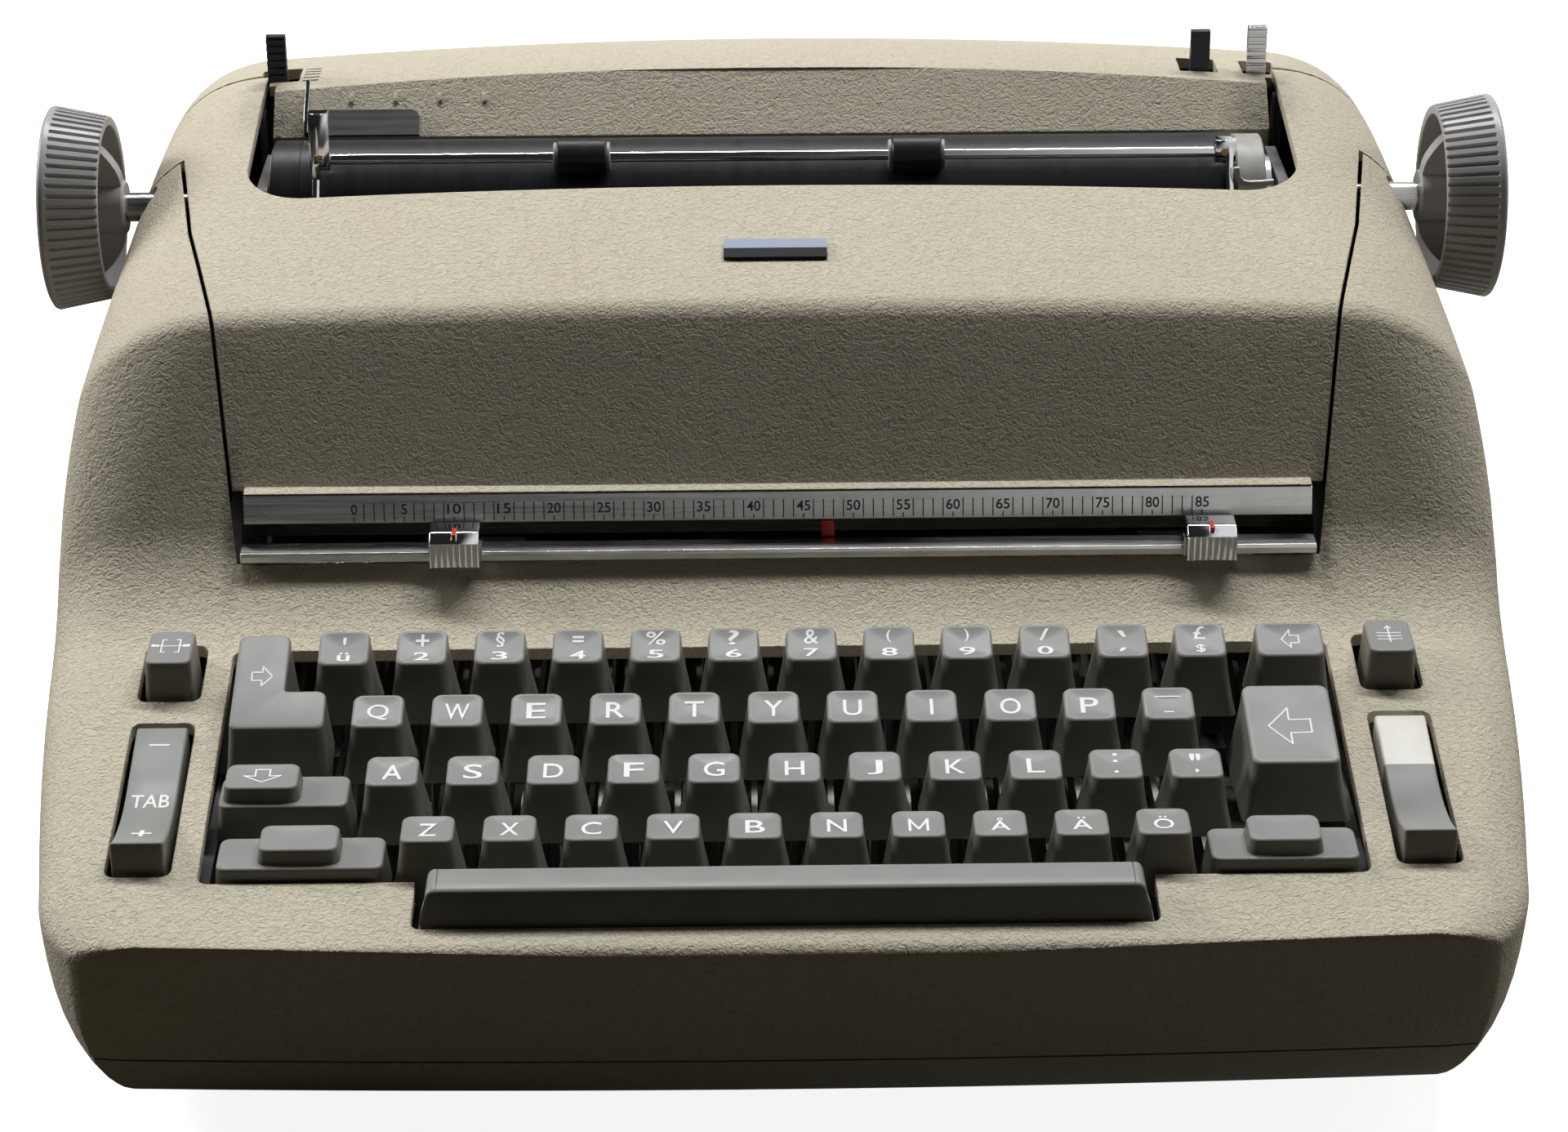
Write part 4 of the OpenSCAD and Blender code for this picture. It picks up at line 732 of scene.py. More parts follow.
lid = carved("cover_skin", shell,
             [("INTERSECT", lid_zone(0, HINGE_Y)),
              ("DIFFERENCE", body_mesh("below_lid", lambda f: block(f, -240, 240, -240, 0, 0, LID_FRONT_Z))),
              ("DIFFERENCE", body_mesh("paper_slot",
                                       lambda f: block(f, -SLOT_HALF_X, SLOT_HALF_X, SLOT_FRONT_Y,
                                                       HINGE_Y + 70,
                                                                     100, 210, SLOT_CORNER_R, 16))),
              ("UNION", body_mesh("ribs", cover_ribs)),
              ("UNION", body_mesh("hem", lambda form: sheet_form(form,
                                                                 [(-50.3, 110.45), (-50.3, 110.75),
                                                                  (-48.2, 111.3), (-45, 111.3),
                                                                       (-46, 110.45)], "X", -135.9, 135.9)))])
coat_inside(lid)
piece("cover_skin", lid, [paint, inside_shade_and_line_black], "cover", ["top_cover"])

# The base: a shallow tray with cooling slots, screwed up into the power frame.
SCREW_X = 130.0
SCREW_Y = (-105.0, 108.0)
base_cuts = [lambda f: block(f, -240, 240, -240, 240, SEAM_Z, 250)]
for k in range(8):
    base_cuts.append(lambda f, x=-74 + 20 * k: block(f, x, x + 8, 20, 75, 0, BASE_Z + 2 * SKIN, 3.9, 8))
for side in (-1, 1):
    for y in SCREW_Y:
        base_cuts.append(lambda f, x=side * SCREW_X,
                         y=y: block(f, x - 2.4, x + 2.4, y - 2.4, y + 2.4, 0, 30, 2.39, 8))
piece("base_skin", carved("base_skin", shell, [("DIFFERENCE",
                                                body_mesh("base_cut", cut)) for cut in base_cuts]),
      paint, "chassis", ["bottom_case"])

# The letter keys: caps moulded in grey plastic, dished on top and flared at the foot, each pressed on the stem of a
# stamped steel lever that turns on a rod behind the keyboard. The caps of one row share one piece.
KEY_PITCH = 19.05
KEY_CAP_H = 15.0
KEY_TOP_D = 11.5
LEVER_T = 1.5
LEVER_Z = 40.0
LEVER_TOP = 50.0
FULCRUM_Y = 40.0
FULCRUM_Z = 45.0
COMB_Y = -166.0
KEY_GREY = (0.27, 0.275, 0.265, 1)
KEY_FLANK_PAINTED_SHADE = (0.17, 0.16, 0.135, 1)
ROW_TILT = (3.6, 2.9, 1.8, 0.5)
ROW_LIFT = (1, -0.5, -0.6, 0.4)
LEGEND_WHITE = (0.86, 0.87, 0.85, 1)
CAPITAL_SHARE = 0.72
INK_LIFT = 0.06


def row_y(i):
    return -98 - KEY_PITCH * i


def row_z(i):
    return 90.3 - 5.8 * i


def key_x(n):
    return -106.9 + KEY_PITCH * n


def turned(form, outline, y, z, steps=64):
    # A solid of revolution about a line along X; the outline is a closed loop of x and radius
    known = set(form.verts)
    made = [form.verts.new(Vector((x, y, z + r)) * MM) for x, r in outline]
    closing = 0 if outline[0][1] == 0 and outline[-1][1] == 0 else 1
    edges = [form.edges.new((made[k], made[(k + 1) % len(made)])) for k in range(len(made) - 1 + closing)]
    bmesh.ops.spin(form, geom=made + edges, cent=Vector((0, y, z)) * MM, axis=(1, 0, 0), angle=4 * QUARTER,
                   steps=steps,
                   use_merge=False, use_duplicate=False)
    bmesh.ops.remove_doubles(form, verts=[v for v in form.verts if v not in known], dist=1e-6)


def rounded_outline(half_x, front, back, r, steps=5):
    # The corners of a rounded rectangle, the first one repeated at the end
    points = []
    for cx, cy, start in ((half_x - r, back - r, 0), (r - half_x, back - r, 1), (r - half_x, r - front, 2),
                          (half_x - r, r - front, 3)):
        for k in range(steps + 1):
            turn = QUARTER * (start + k / steps)
            points.append((cx + r * math.cos(turn), cy + r * math.sin(turn)))
    return points + points[:1]


def key_cap(form, x, y, z, top_w=12.4, foot_w=17.0, height=KEY_CAP_H, top_d=KEY_TOP_D, front=4.4, back=1.8,
            tilt=1.6,
            edge=0.75, dish=0.55, round_top=2.3, round_foot=1.6, bell=1.35):
    # Rings from the foot up the flared flanks, over the rounded edge and into the dish
    rings = []
    for u in (0, 0.16, 0.32, 0.48, 0.62, 0.74, 0.84, 0.92, 1):
        flare = (1 - u) ** bell
        ring = rounded_outline(top_w / 2 + (foot_w - top_w) / 2 * flare, top_d / 2 + front * flare,
                               top_d / 2 + back * flare,
                               round_top + (round_foot - round_top) * flare)
        rings.append([(px, py, tilt * py / top_d * u - (height - edge) * (1 - u) - edge) for px, py in ring])
    for k in range(1, 5):
        inset = edge * (1 - math.cos(QUARTER * k / 4))
        ring = rounded_outline(top_w / 2 - inset, top_d / 2 - inset, top_d / 2 - inset,
                               round_top - inset * 0.6)
        rings.append([(px, py, tilt * py / top_d - edge * (1 - math.sin(QUARTER * k / 4))) for px,
                      py in ring])
    rim = rounded_outline(top_w / 2 - edge, top_d / 2 - edge, top_d / 2 - edge, round_top - edge * 0.6)
    for s in (0.94, 0.86, 0.74, 0.6, 0.45, 0.3, 0.15):
        rings.append([(px * s, py * s, tilt * py * s / top_d - dish * (1 - s * s)) for px, py in rim])
    net = net_form(form, [[(x + px, y + py, z + pz) for px, py, pz in ring] for ring in rings])
    bmesh.ops.remove_doubles(form, verts=net, dist=1e-6)
    close_holes(form)


def key_lever(form, x, y, foot_z, front=COMB_Y - 2):
    # The stamped lever, its stem under the cap and the eye at its rear end
    block(form, x - LEVER_T / 2, x + LEVER_T / 2, front, FULCRUM_Y - 4, LEVER_Z, LEVER_TOP)
    turned(form, [(x - LEVER_T / 2, 3.05), (x + LEVER_T / 2, 3.05), (x + LEVER_T / 2, 6),
                  (x - LEVER_T / 2, 6)],
           FULCRUM_Y, FULCRUM_Z, 32)
    block(form, x - LEVER_T / 2, x + LEVER_T / 2, y - 4, y + 4, LEVER_TOP + 0.05, foot_z - 0.05)


def plastic_group():
    # Moulded plastic that has been handled: slow patches of skin grease and fine dust in specks
    tree, given, out = shader_group("worn_plastic", [("Scale", "value", 60.0)],
                                    [("Patch", "value"), ("Speck", "value"), ("Height", "value")])
    place = add(tree, "ShaderNodeTexCoord")
    slow = add(tree, "ShaderNodeTexNoise", Vector=place.outputs["Object"], Scale=given.outputs["Scale"],
               Detail=3.0)
    dots = add(tree, "ShaderNodeTexVoronoi", Vector=place.outputs["Object"], Scale=620.0)
    fine = add(tree, "ShaderNodeTexNoise", Vector=place.outputs["Object"], Scale=2600.0, Detail=2.0)
    patch = add(tree, "ShaderNodeMapRange", n0=slow.outputs["Fac"], n1=0.35, n2=0.7)
    speck = add(tree, "ShaderNodeMapRange", n0=dots.outputs["Distance"], n1=0.13, n2=0.05)
    tree.links.new(patch.outputs["Result"], out.inputs["Patch"])
    tree.links.new(speck.outputs["Result"], out.inputs["Speck"])
    tree.links.new(fine.outputs["Fac"], out.inputs["Height"])
    return tree


worn_plastic = plastic_group()


def handled_finish(name, scale, fresh, worn, rough, mask="Patch", specular=0.5, bump=0.0):
    # Plain plastic, enamel or ink, worn in patches or specks
    made, tree, shader = new_finish(name)
    wear = put_group(tree, worn_plastic, Scale=scale)
    tree.links.new(mixed_colour(tree, wear.outputs[mask], fresh, worn), shader.inputs["Base Color"])
    shader.inputs["Roughness"].default_value = rough
    shader.inputs["Specular IOR Level"].default_value = specular
    if bump:
        relief = add(tree, "ShaderNodeBump", Strength=bump, Distance=0.00005, Height=wear.outputs["Height"])
        tree.links.new(relief.outputs["Normal"], shader.inputs["Normal"])
    return made


def upward_mask(tree, start, end):
    # One where the surface looks up, nought where it stands upright
    facing = add(tree, "ShaderNodeSeparateXYZ", n0=add(tree, "ShaderNodeNewGeometry").outputs["Normal"])
    return add(tree, "ShaderNodeMapRange", {"interpolation_type": "SMOOTHSTEP"}, n0=facing.outputs["Z"],
               n1=start, n2=end).outputs["Result"]


key_plastic, key_tree, key_shader = new_finish("key_plastic")
key_wear = put_group(key_tree, worn_plastic, Scale=70.0)
# Painted shade: the caps' upright flanks get a darker colour than their tops
key_flank_shaded = mixed_colour(key_tree, upward_mask(key_tree, 0.25, 0.8), KEY_FLANK_PAINTED_SHADE, KEY_GREY)
key_patched = mixed_colour(key_tree, multiplied(key_tree, key_wear.outputs["Patch"], 0.16), key_flank_shaded,
                           (0.33, 0.33, 0.29, 1))
key_dusty = mixed_colour(key_tree, multiplied(key_tree, key_wear.outputs["Speck"], 0.35), key_patched,
                         (0.3, 0.27, 0.2, 1))
key_tree.links.new(key_dusty, key_shader.inputs["Base Color"])
key_tree.links.new(add(key_tree, "ShaderNodeMapRange", n0=key_wear.outputs["Patch"], n3=0.3,
                       n4=0.42).outputs["Result"],
                   key_shader.inputs["Roughness"])
key_tree.links.new(add(key_tree, "ShaderNodeBump", Strength=0.06, Distance=0.00004,
                       Height=key_wear.outputs["Height"]).outputs["Normal"],
                   key_shader.inputs["Normal"])
key_shader.inputs["Specular IOR Level"].default_value = 0.2

legend_ink, ink_tree, ink_shader = new_finish("legend_ink")
ink_wear = put_group(ink_tree, worn_plastic, Scale=400.0)
ink_colour = mixed_colour(ink_tree, multiplied(ink_tree, ink_wear.outputs["Patch"], 0.2), LEGEND_WHITE,
                          (0.6, 0.6, 0.57, 1))
ink_tree.links.new(ink_colour, ink_shader.inputs["Base Color"])
ink_shader.inputs["Roughness"].default_value = 0.5

stamped_steel, steel_tree, steel_shader = new_finish("stamped_steel")
steel_place = add(steel_tree, "ShaderNodeTexCoord")
steel_run = add(steel_tree, "ShaderNodeMapping", Vector=steel_place.outputs["Object"], Scale=(900, 30, 900))
steel_line = add(steel_tree, "ShaderNodeTexNoise", Vector=steel_run.outputs["Vector"], Scale=1.0, Detail=4.0)
steel_spot = add(steel_tree, "ShaderNodeTexNoise", Vector=steel_place.outputs["Object"], Scale=60.0,
                 Detail=6.0)
steel_tree.links.new(mixed_colour(steel_tree, add(steel_tree, "ShaderNodeMapRange",
                                                  n0=steel_spot.outputs["Fac"], n1=0.45, n2=0.75,
                                                  n4=0.6).outputs["Result"], (0.47, 0.46, 0.44, 1),
                                                  (0.22, 0.18, 0.13, 1)),
                     steel_shader.inputs["Base Color"])
steel_tree.links.new(add(steel_tree, "ShaderNodeMapRange", n0=steel_line.outputs["Fac"], n3=0.28,
                         n4=0.55).outputs["Result"],
                     steel_shader.inputs["Roughness"])
steel_tree.links.new(add(steel_tree, "ShaderNodeBump", Strength=0.15, Distance=0.0001,
                         Height=steel_line.outputs["Fac"]).outputs["Normal"],
                     steel_shader.inputs["Normal"])
steel_shader.inputs["Metallic"].default_value = 1.0


def stroke_mesh(lines, width):
    # Pen strokes along the given lines, each with square ends a little longer than the line
    form = bmesh.new()
    for line in lines:
        for (x0, y0), (x1, y1) in zip(line, line[1:]):
            run = math.hypot(x1 - x0, y1 - y0)
            ux, uy = (x1 - x0) / run * width / 2, (y1 - y0) / run * width / 2
            corners = ((x0 - ux + uy, y0 - uy - ux), (x1 + ux + uy, y1 + uy - ux),
                       (x1 + ux - uy, y1 + uy + ux), (x0 - ux - uy, y0 - uy + ux))
            form.faces.new([form.verts.new((a, b, 0)) for a, b in corners])
    bmesh.ops.subdivide_edges(form, edges=form.edges, cuts=2, use_grid_fill=True)
    return made_mesh(form, "strokes")


def glyph_mesh(text, height, width, bold=0.05):
    # The outline of one legend in millimetres round its own middle, drawn out to the given height and width
    if text == "M":
        mesh = stroke_mesh([[(-2, -2.5), (-2, 2.5)], [(-2, 2.5), (0, -1.6)], [(0, -1.6), (2, 2.5)],
                            [(2, 2.5), (2, -2.5)]], 0.62)
    else:
        line = bpy.data.curves.new("glyph", "FONT")
        line.body = text
        line.align_x = "CENTER"
        line.size = height / CAPITAL_SHARE
        line.offset = bold
        line.resolution_u = 4
        holder = bpy.data.objects.new("glyph", line)
        bpy.context.collection.objects.link(holder)
        bpy.context.view_layer.update()
        mesh = bpy.data.meshes.new_from_object(holder.evaluated_get(bpy.context.evaluated_depsgraph_get()))
        bpy.data.objects.remove(holder)
    xs = [v.co.x for v in mesh.vertices]
    ys = [v.co.y for v in mesh.vertices]
    middle = Matrix.Translation((-(min(xs) + max(xs)) / 2, -(min(ys) + max(ys)) / 2, 0))
    mesh.transform(Matrix.Diagonal((width / (max(xs) - min(xs)), height / (max(ys) - min(ys)), 1,
                                    1)) @ middle)
    return mesh


def printed(form, surface, mesh, x, y):
    # Lays a flat outline on the surface below it
    known = set(form.verts)
    form.from_mesh(mesh)
    for vert in [v for v in form.verts if v not in known]:
        spot = Vector((x + vert.co.x, y + vert.co.y, 0)) * MM
        hit = surface.ray_cast(spot + Vector((0, 0, 0.3)), Vector((0, 0, -1)))[0]
        vert.co = (hit or spot) + Vector((0, 0, INK_LIFT)) * MM


def turned_up(form):
    # Turns every face of the printed ink to the top
    form.normal_update()
    for face in form.faces:
        if face.normal.z < 0:
            face.normal_flip()


def arrow_mesh(length, width, neck, turn, pen=0.42):
    # An outlined arrow that points along the turn, in quarters from the right
    head = length * 0.5
    points = [(length / 2, 0), (length / 2 - head, width / 2), (length / 2 - head, neck / 2),
              (-length / 2, neck / 2),
              (-length / 2, -neck / 2), (length / 2 - head, -neck / 2), (length / 2 - head, -width / 2),
              (length / 2, 0)]
    mesh = stroke_mesh([points], pen)
    mesh.transform(Matrix.Rotation(QUARTER * turn, 4, "Z"))
    return mesh


def key_bank(name, body, node, caps, levers, legends):
    # One bank: its caps and levers, and the white legends that are printed on the caps
    form = bmesh.new()
    for cap in caps:
        cap(form)
    surface = BVHTree.FromBMesh(form)
    cap_faces = set(form.faces)
    for lever in levers:
        lever(form)
    bmesh.ops.recalc_face_normals(form, faces=form.faces)
    coated(form, cap_faces, 1)
    mesh = made_mesh(form, name)
    piece(name, mesh, [key_plastic, stamped_steel], body, [node], sharp=50)
    if legends:
        ink = bmesh.new()
        for outline, x, y in legends:
            printed(ink, surface, outline, x, y)
        turned_up(ink)
        piece(name + "_legends", made_mesh(ink, name + "_legends"), legend_ink, body)


LETTER_W = {"Q": 5.3, "W": 6.0, "R": 4.5, "Y": 4.6, "U": 4.6, "I": 0.85, "O": 5.0, "P": 4.4, "S": 4.5,
            "G": 5.0, "J": 3.7, "L": 4.2, "Z": 4.2,
            "X": 4.4, "M": 5.0, "B": 4.6, "N": 4.6}
SIGN_SIZE = {"'": (0.8, 2.2), "ü": (3.1, 3.3), "+": (3.3, 3.6), "§": (2.2, 4.4), "=": (2.8, 1.9),
             "%": (4.8, 4.0), "?": (2.7, 4.3), "&": (3.6, 4.3),
             "(": (1.2, 3.8), ")": (1.2, 3.8), "/": (2.6, 3.6), "`": (2.2, 1.9), "´": (2.0, 1.4),
             "£": (3.0, 3.9), "$": (2.3, 3.2), "—": (6.4, 0.42),
             "-": (2.4, 0.45), ":": (1.2, 3.1), ".": (1.1, 1.1), "\"": (2.6, 2.2), ",": (1.0, 1.5)}
ROWS = (("number_row", 0.0, ("'ü", "+2", "§3", "=4", "%5", "?6", "&7", "(8", ")9", "/0", "`´", "£$")),
        ("upper_row", 0.5, ("Q", "W", "E", "R", "T", "Y", "U", "I", "O", "P", "—-")),
        ("home_row", 0.75, ("A", "S", "D", "F", "G", "H", "J", "K", "L", ":.", "\",")),
        ("bottom_row", 1.25, ("Z", "X", "C", "V", "B", "N", "M", "Å", "Ä", "Ö")))
for i, (bank, shift, signs) in enumerate(ROWS):
    spots = [(key_x(shift + k), row_y(i), row_z(i) + ROW_LIFT[i]) for k in range(len(signs))]
    marks = []
    for sign, (x, y, z) in zip(signs, spots):
        if len(sign) == 2:
            for mark, back in zip(sign, (2.5, -2.7)):
                width, height = SIGN_SIZE.get(mark, (3.9, 3.1))
                marks.append((glyph_mesh(mark, height, width, 0.0 if mark in "—-" else 0.06), x, y + back))
        else:
            marks.append((glyph_mesh(sign, 5.4, LETTER_W.get(sign, 4.7)), x, y - 0.1))
    key_bank(bank + "_caps", bank + "_bank", bank + "_keys",
             [lambda f, p=p: key_cap(f, *p, height=KEY_CAP_H + ROW_LIFT[i], front=2.2 if i == 3 else 4.4,
                                     tilt=ROW_TILT[i]) for p in spots],
             [lambda f, p=p: key_lever(f, p[0], p[1], row_z(i) - KEY_CAP_H) for p in spots], marks)

# The special keys: wider caps of the same plastic on the same levers, with outlined arrows.
# The shift and lock keys have a raised pad on a lower slab.


def stepped_cap(form, x, y, z, width, top_x, top_w):
    key_cap(form, x, y - 0.95, z - 5.3, width - 2, width - 0.2, KEY_CAP_H - 5.3, 13, front=0.3, back=0.9,
            tilt=1, dish=0.1)
    key_cap(form, top_x, y, z - 1.6, top_w, top_w + 2.6, 7, 10.4, front=1.6, back=0.8, tilt=1, dish=0.3)


def tab_cap(form):
    # One cap with the outline of an L, sloping down to its foot; the rings follow the outline outwards
    rise_of = 0.334
    rings = []
    for u in (0, 0.2, 0.4, 0.6, 0.8, 0.92, 1):
        flare = (1 - u) ** 1.3
        rings.append((-1.3 * flare, -0.2 * flare - 0.6 * flare, 4.4 * flare, flare, -(1 - u) * 15 - 0.75))
    for k in range(1, 5):
        inset = 0.75 * (1 - math.cos(QUARTER * k / 4))
        rings.append((inset, inset, -inset, 0, -0.75 * (1 - math.sin(QUARTER * k / 4))))
    net = []
    for side, back, front, flare, depth in rings:
        corners = [(-132.9 + side, -92.2 - back, 2.0), (-120.3 - side, -92.2 - back, 2.0),
                   (-120.3 - side, -110.3 - back, -0.8),
                   (-110.2 - side, -110.3 - back, 2.0), (-110.2 - side, -122.2 - front, 2.0),
                   (-132.9 + side, -122.2 - front, 2.0)]
        loop = []
        for n, (cx, cy, r) in enumerate(corners):
            ax, ay = corners[n - 1][0], corners[n - 1][1]
            bx, by = corners[(n + 1) % 6][0], corners[(n + 1) % 6][1]
            ua = Vector((ax - cx, ay - cy)).normalized() * abs(r)
            ub = Vector((bx - cx, by - cy)).normalized() * abs(r)
            for k in range(6):
                turn = QUARTER * k / 5
                spot = Vector((cx, cy)) + ua * (1 - math.sin(turn)) + ub * (1 - math.cos(turn))
                sloped = (spot.y + 98) * rise_of * (1 - 0.5 * flare)
                drop = 3 * flare if spot.y < -112 else 0
                loop.append((spot.x, spot.y, 90.3 + sloped + depth - drop))
        net.append(loop + loop[:1])
    bmesh.ops.remove_doubles(form, verts=net_form(form, net), dist=1e-6)
    close_holes(form)


key_bank("tab_cap", "tab_key_unit", "tab_key", [tab_cap],
         [lambda f: key_lever(f, key_x(-1), row_y(0), row_z(0) - KEY_CAP_H - 6)],
         [(arrow_mesh(5.0, 6.2, 2.6, 0, 0.4), -126.2, -105.8)])
key_bank("backspace_cap", "backspace_key_unit", "backspace_key",
         [lambda f: key_cap(f, 124.6, row_y(0), row_z(0) + 1, 16.5, 20, KEY_CAP_H + 1, tilt=3.6)],
         [lambda f: key_lever(f, key_x(12.25), row_y(0), row_z(0) - KEY_CAP_H)],
         [(arrow_mesh(4.2, 5.8, 2.4, 2, 0.36), 124.8, row_y(0) + 0.3)])
key_bank("return_cap", "return_key_unit", "return_key",
         [lambda f: key_cap(f, 121.6, row_y(1) - 8.2, row_z(1) - 2, 21, 26, KEY_CAP_H + 2, 26.6, tilt=7)],
         [lambda f: key_lever(f, key_x(12), row_y(1) - 6, row_z(1) - KEY_CAP_H - 4)],
         [(arrow_mesh(10.2, 12.0, 4.4, 2, 0.42), 121.4, row_y(1) - 8.6)])
key_bank("shift_lock_cap", "shift_lock_key_unit", "shift_lock_key",
         [lambda f: stepped_cap(f, -118.2, row_y(2), row_z(2), 32.4, -123.4, 17.4)],
         [lambda f: key_lever(f, key_x(-0.75), row_y(2), row_z(2) - KEY_CAP_H)],
         [(arrow_mesh(5.0, 8.6, 3.4, 3, 0.4), -123.4, row_y(2) + 0.2)])
key_bank("left_shift_cap", "left_shift_key_unit", "left_shift_key",
         [lambda f: stepped_cap(f, -112.7, row_y(3), row_z(3), 40.8, -113, 18.4)],
         [lambda f: key_lever(f, key_x(-0.25), row_y(3), row_z(3) - KEY_CAP_H)], [])
key_bank("right_shift_cap", "right_shift_key_unit", "right_shift_key",
         [lambda f: stepped_cap(f, 116.4, row_y(3), row_z(3), 36.6, 116.6, 17)],
         [lambda f: key_lever(f, key_x(11.75), row_y(3), row_z(3) - KEY_CAP_H)], [])
SIDE_KEY_X = 150.4
SIDE_KEY_Y = -91.3
release_marks = [(stroke_mesh([[(-4, 0), (4, 0)], [(-1.3, 2.7), (-2.2, 2.7), (-2.2, -2.7), (-1.3, -2.7)],
                               [(1.3, 2.7), (2.2, 2.7), (2.2, -2.7), (1.3, -2.7)]], 0.36), -SIDE_KEY_X,
                               SIDE_KEY_Y + 0.6),
                 (stroke_mesh([[(-4.2, 0), (-4.0, 0)], [(-3.9, 0), (-3.5, 0)]], 1.1), -SIDE_KEY_X,
                  SIDE_KEY_Y + 0.6),
                 (stroke_mesh([[(4.2, 0), (4.0, 0)], [(3.9, 0), (3.5, 0)]], 1.1), -SIDE_KEY_X,
                  SIDE_KEY_Y + 0.6)]
index_marks = [(stroke_mesh([[(-2.9, k), (2.9, k)] for k in (-2.1, -0.7, 0.7)] + [[(0, -3.2), (0, 3.4)],
                                                                                  [(-0.7, 2.7), (0, 3.6),
                                                                                   (0.7, 2.7)]], 0.36),
                SIDE_KEY_X, SIDE_KEY_Y + 0.4)]
for side_name, side, marks in (("margin_release", -1, release_marks), ("index", 1, index_marks)):
    key_bank(side_name + "_cap", side_name + "_key_unit", side_name + "_key",
             [lambda f: key_cap(f, side * SIDE_KEY_X, SIDE_KEY_Y, 88.6, 11.2, 13, 20, 14.4, 0.4, 2, dish=0.2,
                                bell=1)],
             [lambda f: key_lever(f, side * SIDE_KEY_X, SIDE_KEY_Y, 68.6, SIDE_KEY_Y - 5)], marks)

# The space bar: a long moulded bar with a flat, slightly crowned top, on two steel arms that pass below the levers.
SPACE_Y = row_y(4) + 2.4
SPACE_Z = row_z(4) + 2.2
SPACE_X = 84.6
SPACE_ARM_Z = 26.0


def space_form(form):
    stations = [-SPACE_X + d for d in (0, 0.2, 0.7, 1.5, 2.6, 4.5)] + [0] + [SPACE_X - d for d in (4.5, 2.6,
                                                                                                   1.5, 0.7,
                                                                                                   0.2, 0)]
    outline = [(-6.5, -10.8), (-5.6, -5.6), (-4.7, -2), (-4.5, -1), (-4.1, -0.45), (-3.4, -0.2), (-1, 0.12),
               (1.5, 0.4),
               (3.6, 0.62), (4.2, 0.35), (4.45, -0.2), (4.6, -2), (4.8, -10.8)]
    rings = []
    for x in stations:
        d = SPACE_X - abs(x)
        cut = max(0, 1.4 - d) ** 2 * 0.8
        rings.append([(x + (0.2 * (10.8 + z) if x < 0 else -0.2 * (10.8 + z)) * (1 if d < 4 else 0),
                       SPACE_Y + y * (1 - 0.03 * cut), SPACE_Z + z - cut * (1 if z > -5 else 0))
                      for y, z in outline])
    net_form(form, rings)
    close_holes(form)


def space_arm(form, x):
    x0, x1 = x - LEVER_T / 2, x + LEVER_T / 2
    block(form, x0, x1, SPACE_Y - 2, SPACE_Y + 3, SPACE_ARM_Z + 8.05, SPACE_Z - 10.85)
    block(form, x0, x1, SPACE_Y - 2, FULCRUM_Y + 3, SPACE_ARM_Z, SPACE_ARM_Z + 8)
    block(form, x0, x1, FULCRUM_Y - 4, FULCRUM_Y + 4, SPACE_ARM_Z + 8, FULCRUM_Z - 4)
    turned(form, [(x0, 3.05), (x1, 3.05), (x1, 6), (x0, 6)], FULCRUM_Y, FULCRUM_Z, 32)


key_bank("space_bar_cap", "space_bar_unit", "space_bar", [space_form],
         [lambda f, n=n: space_arm(f, key_x(n / 4)) for n in (12.5, 32.5)], [])

# The two rockers beside the keyboard: moulded wedges on pins, the left one for tabs and the right one for power.
# The power rocker shows a white upper third.
ROCKER_W = 12.4
ROCKER_Y = (ROCKER_HOLE_Y[0] + ROCKER_HOLE_Y[1]) / 2
ROCKER_WHITE_Y = ROCKER_Y + 6.6
rocker_white = handled_finish("rocker_white", 90.0, (0.74, 0.73, 0.68, 1), (0.66, 0.64, 0.57, 1), 0.4)
ROCKER_OUTLINE = [(ROCKER_HOLE_Y[0] + 1.2, 62), (ROCKER_HOLE_Y[0] + 2.4, 72.4),
                  (ROCKER_HOLE_Y[0] + 5.6, 71.2), (ROCKER_HOLE_Y[0] + 9.2, 70.3),
                  (ROCKER_HOLE_Y[0] + 13, 69.8), (ROCKER_HOLE_Y[0] + 17.2, 69.6),
                  (ROCKER_HOLE_Y[0] + 21.4, 69.8), (ROCKER_Y + 1.4, 71.0),
                  (ROCKER_Y + 8, 73.0), (ROCKER_HOLE_Y[1] - 3.4, 77.2), (ROCKER_HOLE_Y[1] - 2.6, 68),
                  (ROCKER_Y + 5, 55), (ROCKER_Y - 5, 55)]
for rocker_name, side in (("tab_rocker", -1), ("power_rocker", 1)):
    form = bmesh.new()
    x = side * SIDE_KEY_X
    made = sheet_form(form, ROCKER_OUTLINE, "X", x - ROCKER_W / 2, x + ROCKER_W / 2)
    bmesh.ops.recalc_face_normals(form, faces=form.faces)
    eased(form, [e for e in form.edges if len(e.link_faces) == 2 and e.calc_face_angle() > 0.4], 0.7, 3)
    bmesh.ops.bisect_plane(form, geom=form.verts[:] + form.edges[:] + form.faces[:],
                           plane_co=Vector((0, ROCKER_WHITE_Y, 0)) * MM,
                           plane_no=(0, 1, 0))
    for face in form.faces:
        face.material_index = 1 if side > 0 and face.calc_center_median().y > ROCKER_WHITE_Y * MM else 0
    surface = BVHTree.FromBMesh(form)
    mesh = made_mesh(form, rocker_name + "_body")
    piece(rocker_name + "_body", mesh, [key_plastic, rocker_white], rocker_name + "_unit", [rocker_name])
    if side < 0:
        ink = bmesh.new()
        for text, y, height, width in (("—", ROCKER_Y + 17, 0.6, 5.0), ("TAB", ROCKER_Y - 1.5, 4.6, 9.2),
                                       ("+", ROCKER_Y - 16, 3.6, 4.8)):
            printed(ink, surface, glyph_mesh(text, height, width, 0.0 if text == "—" else 0.05), x, y)
        turned_up(ink)
        piece("tab_rocker_legends", made_mesh(ink, "tab_rocker_legends"), legend_ink, "tab_rocker_unit")

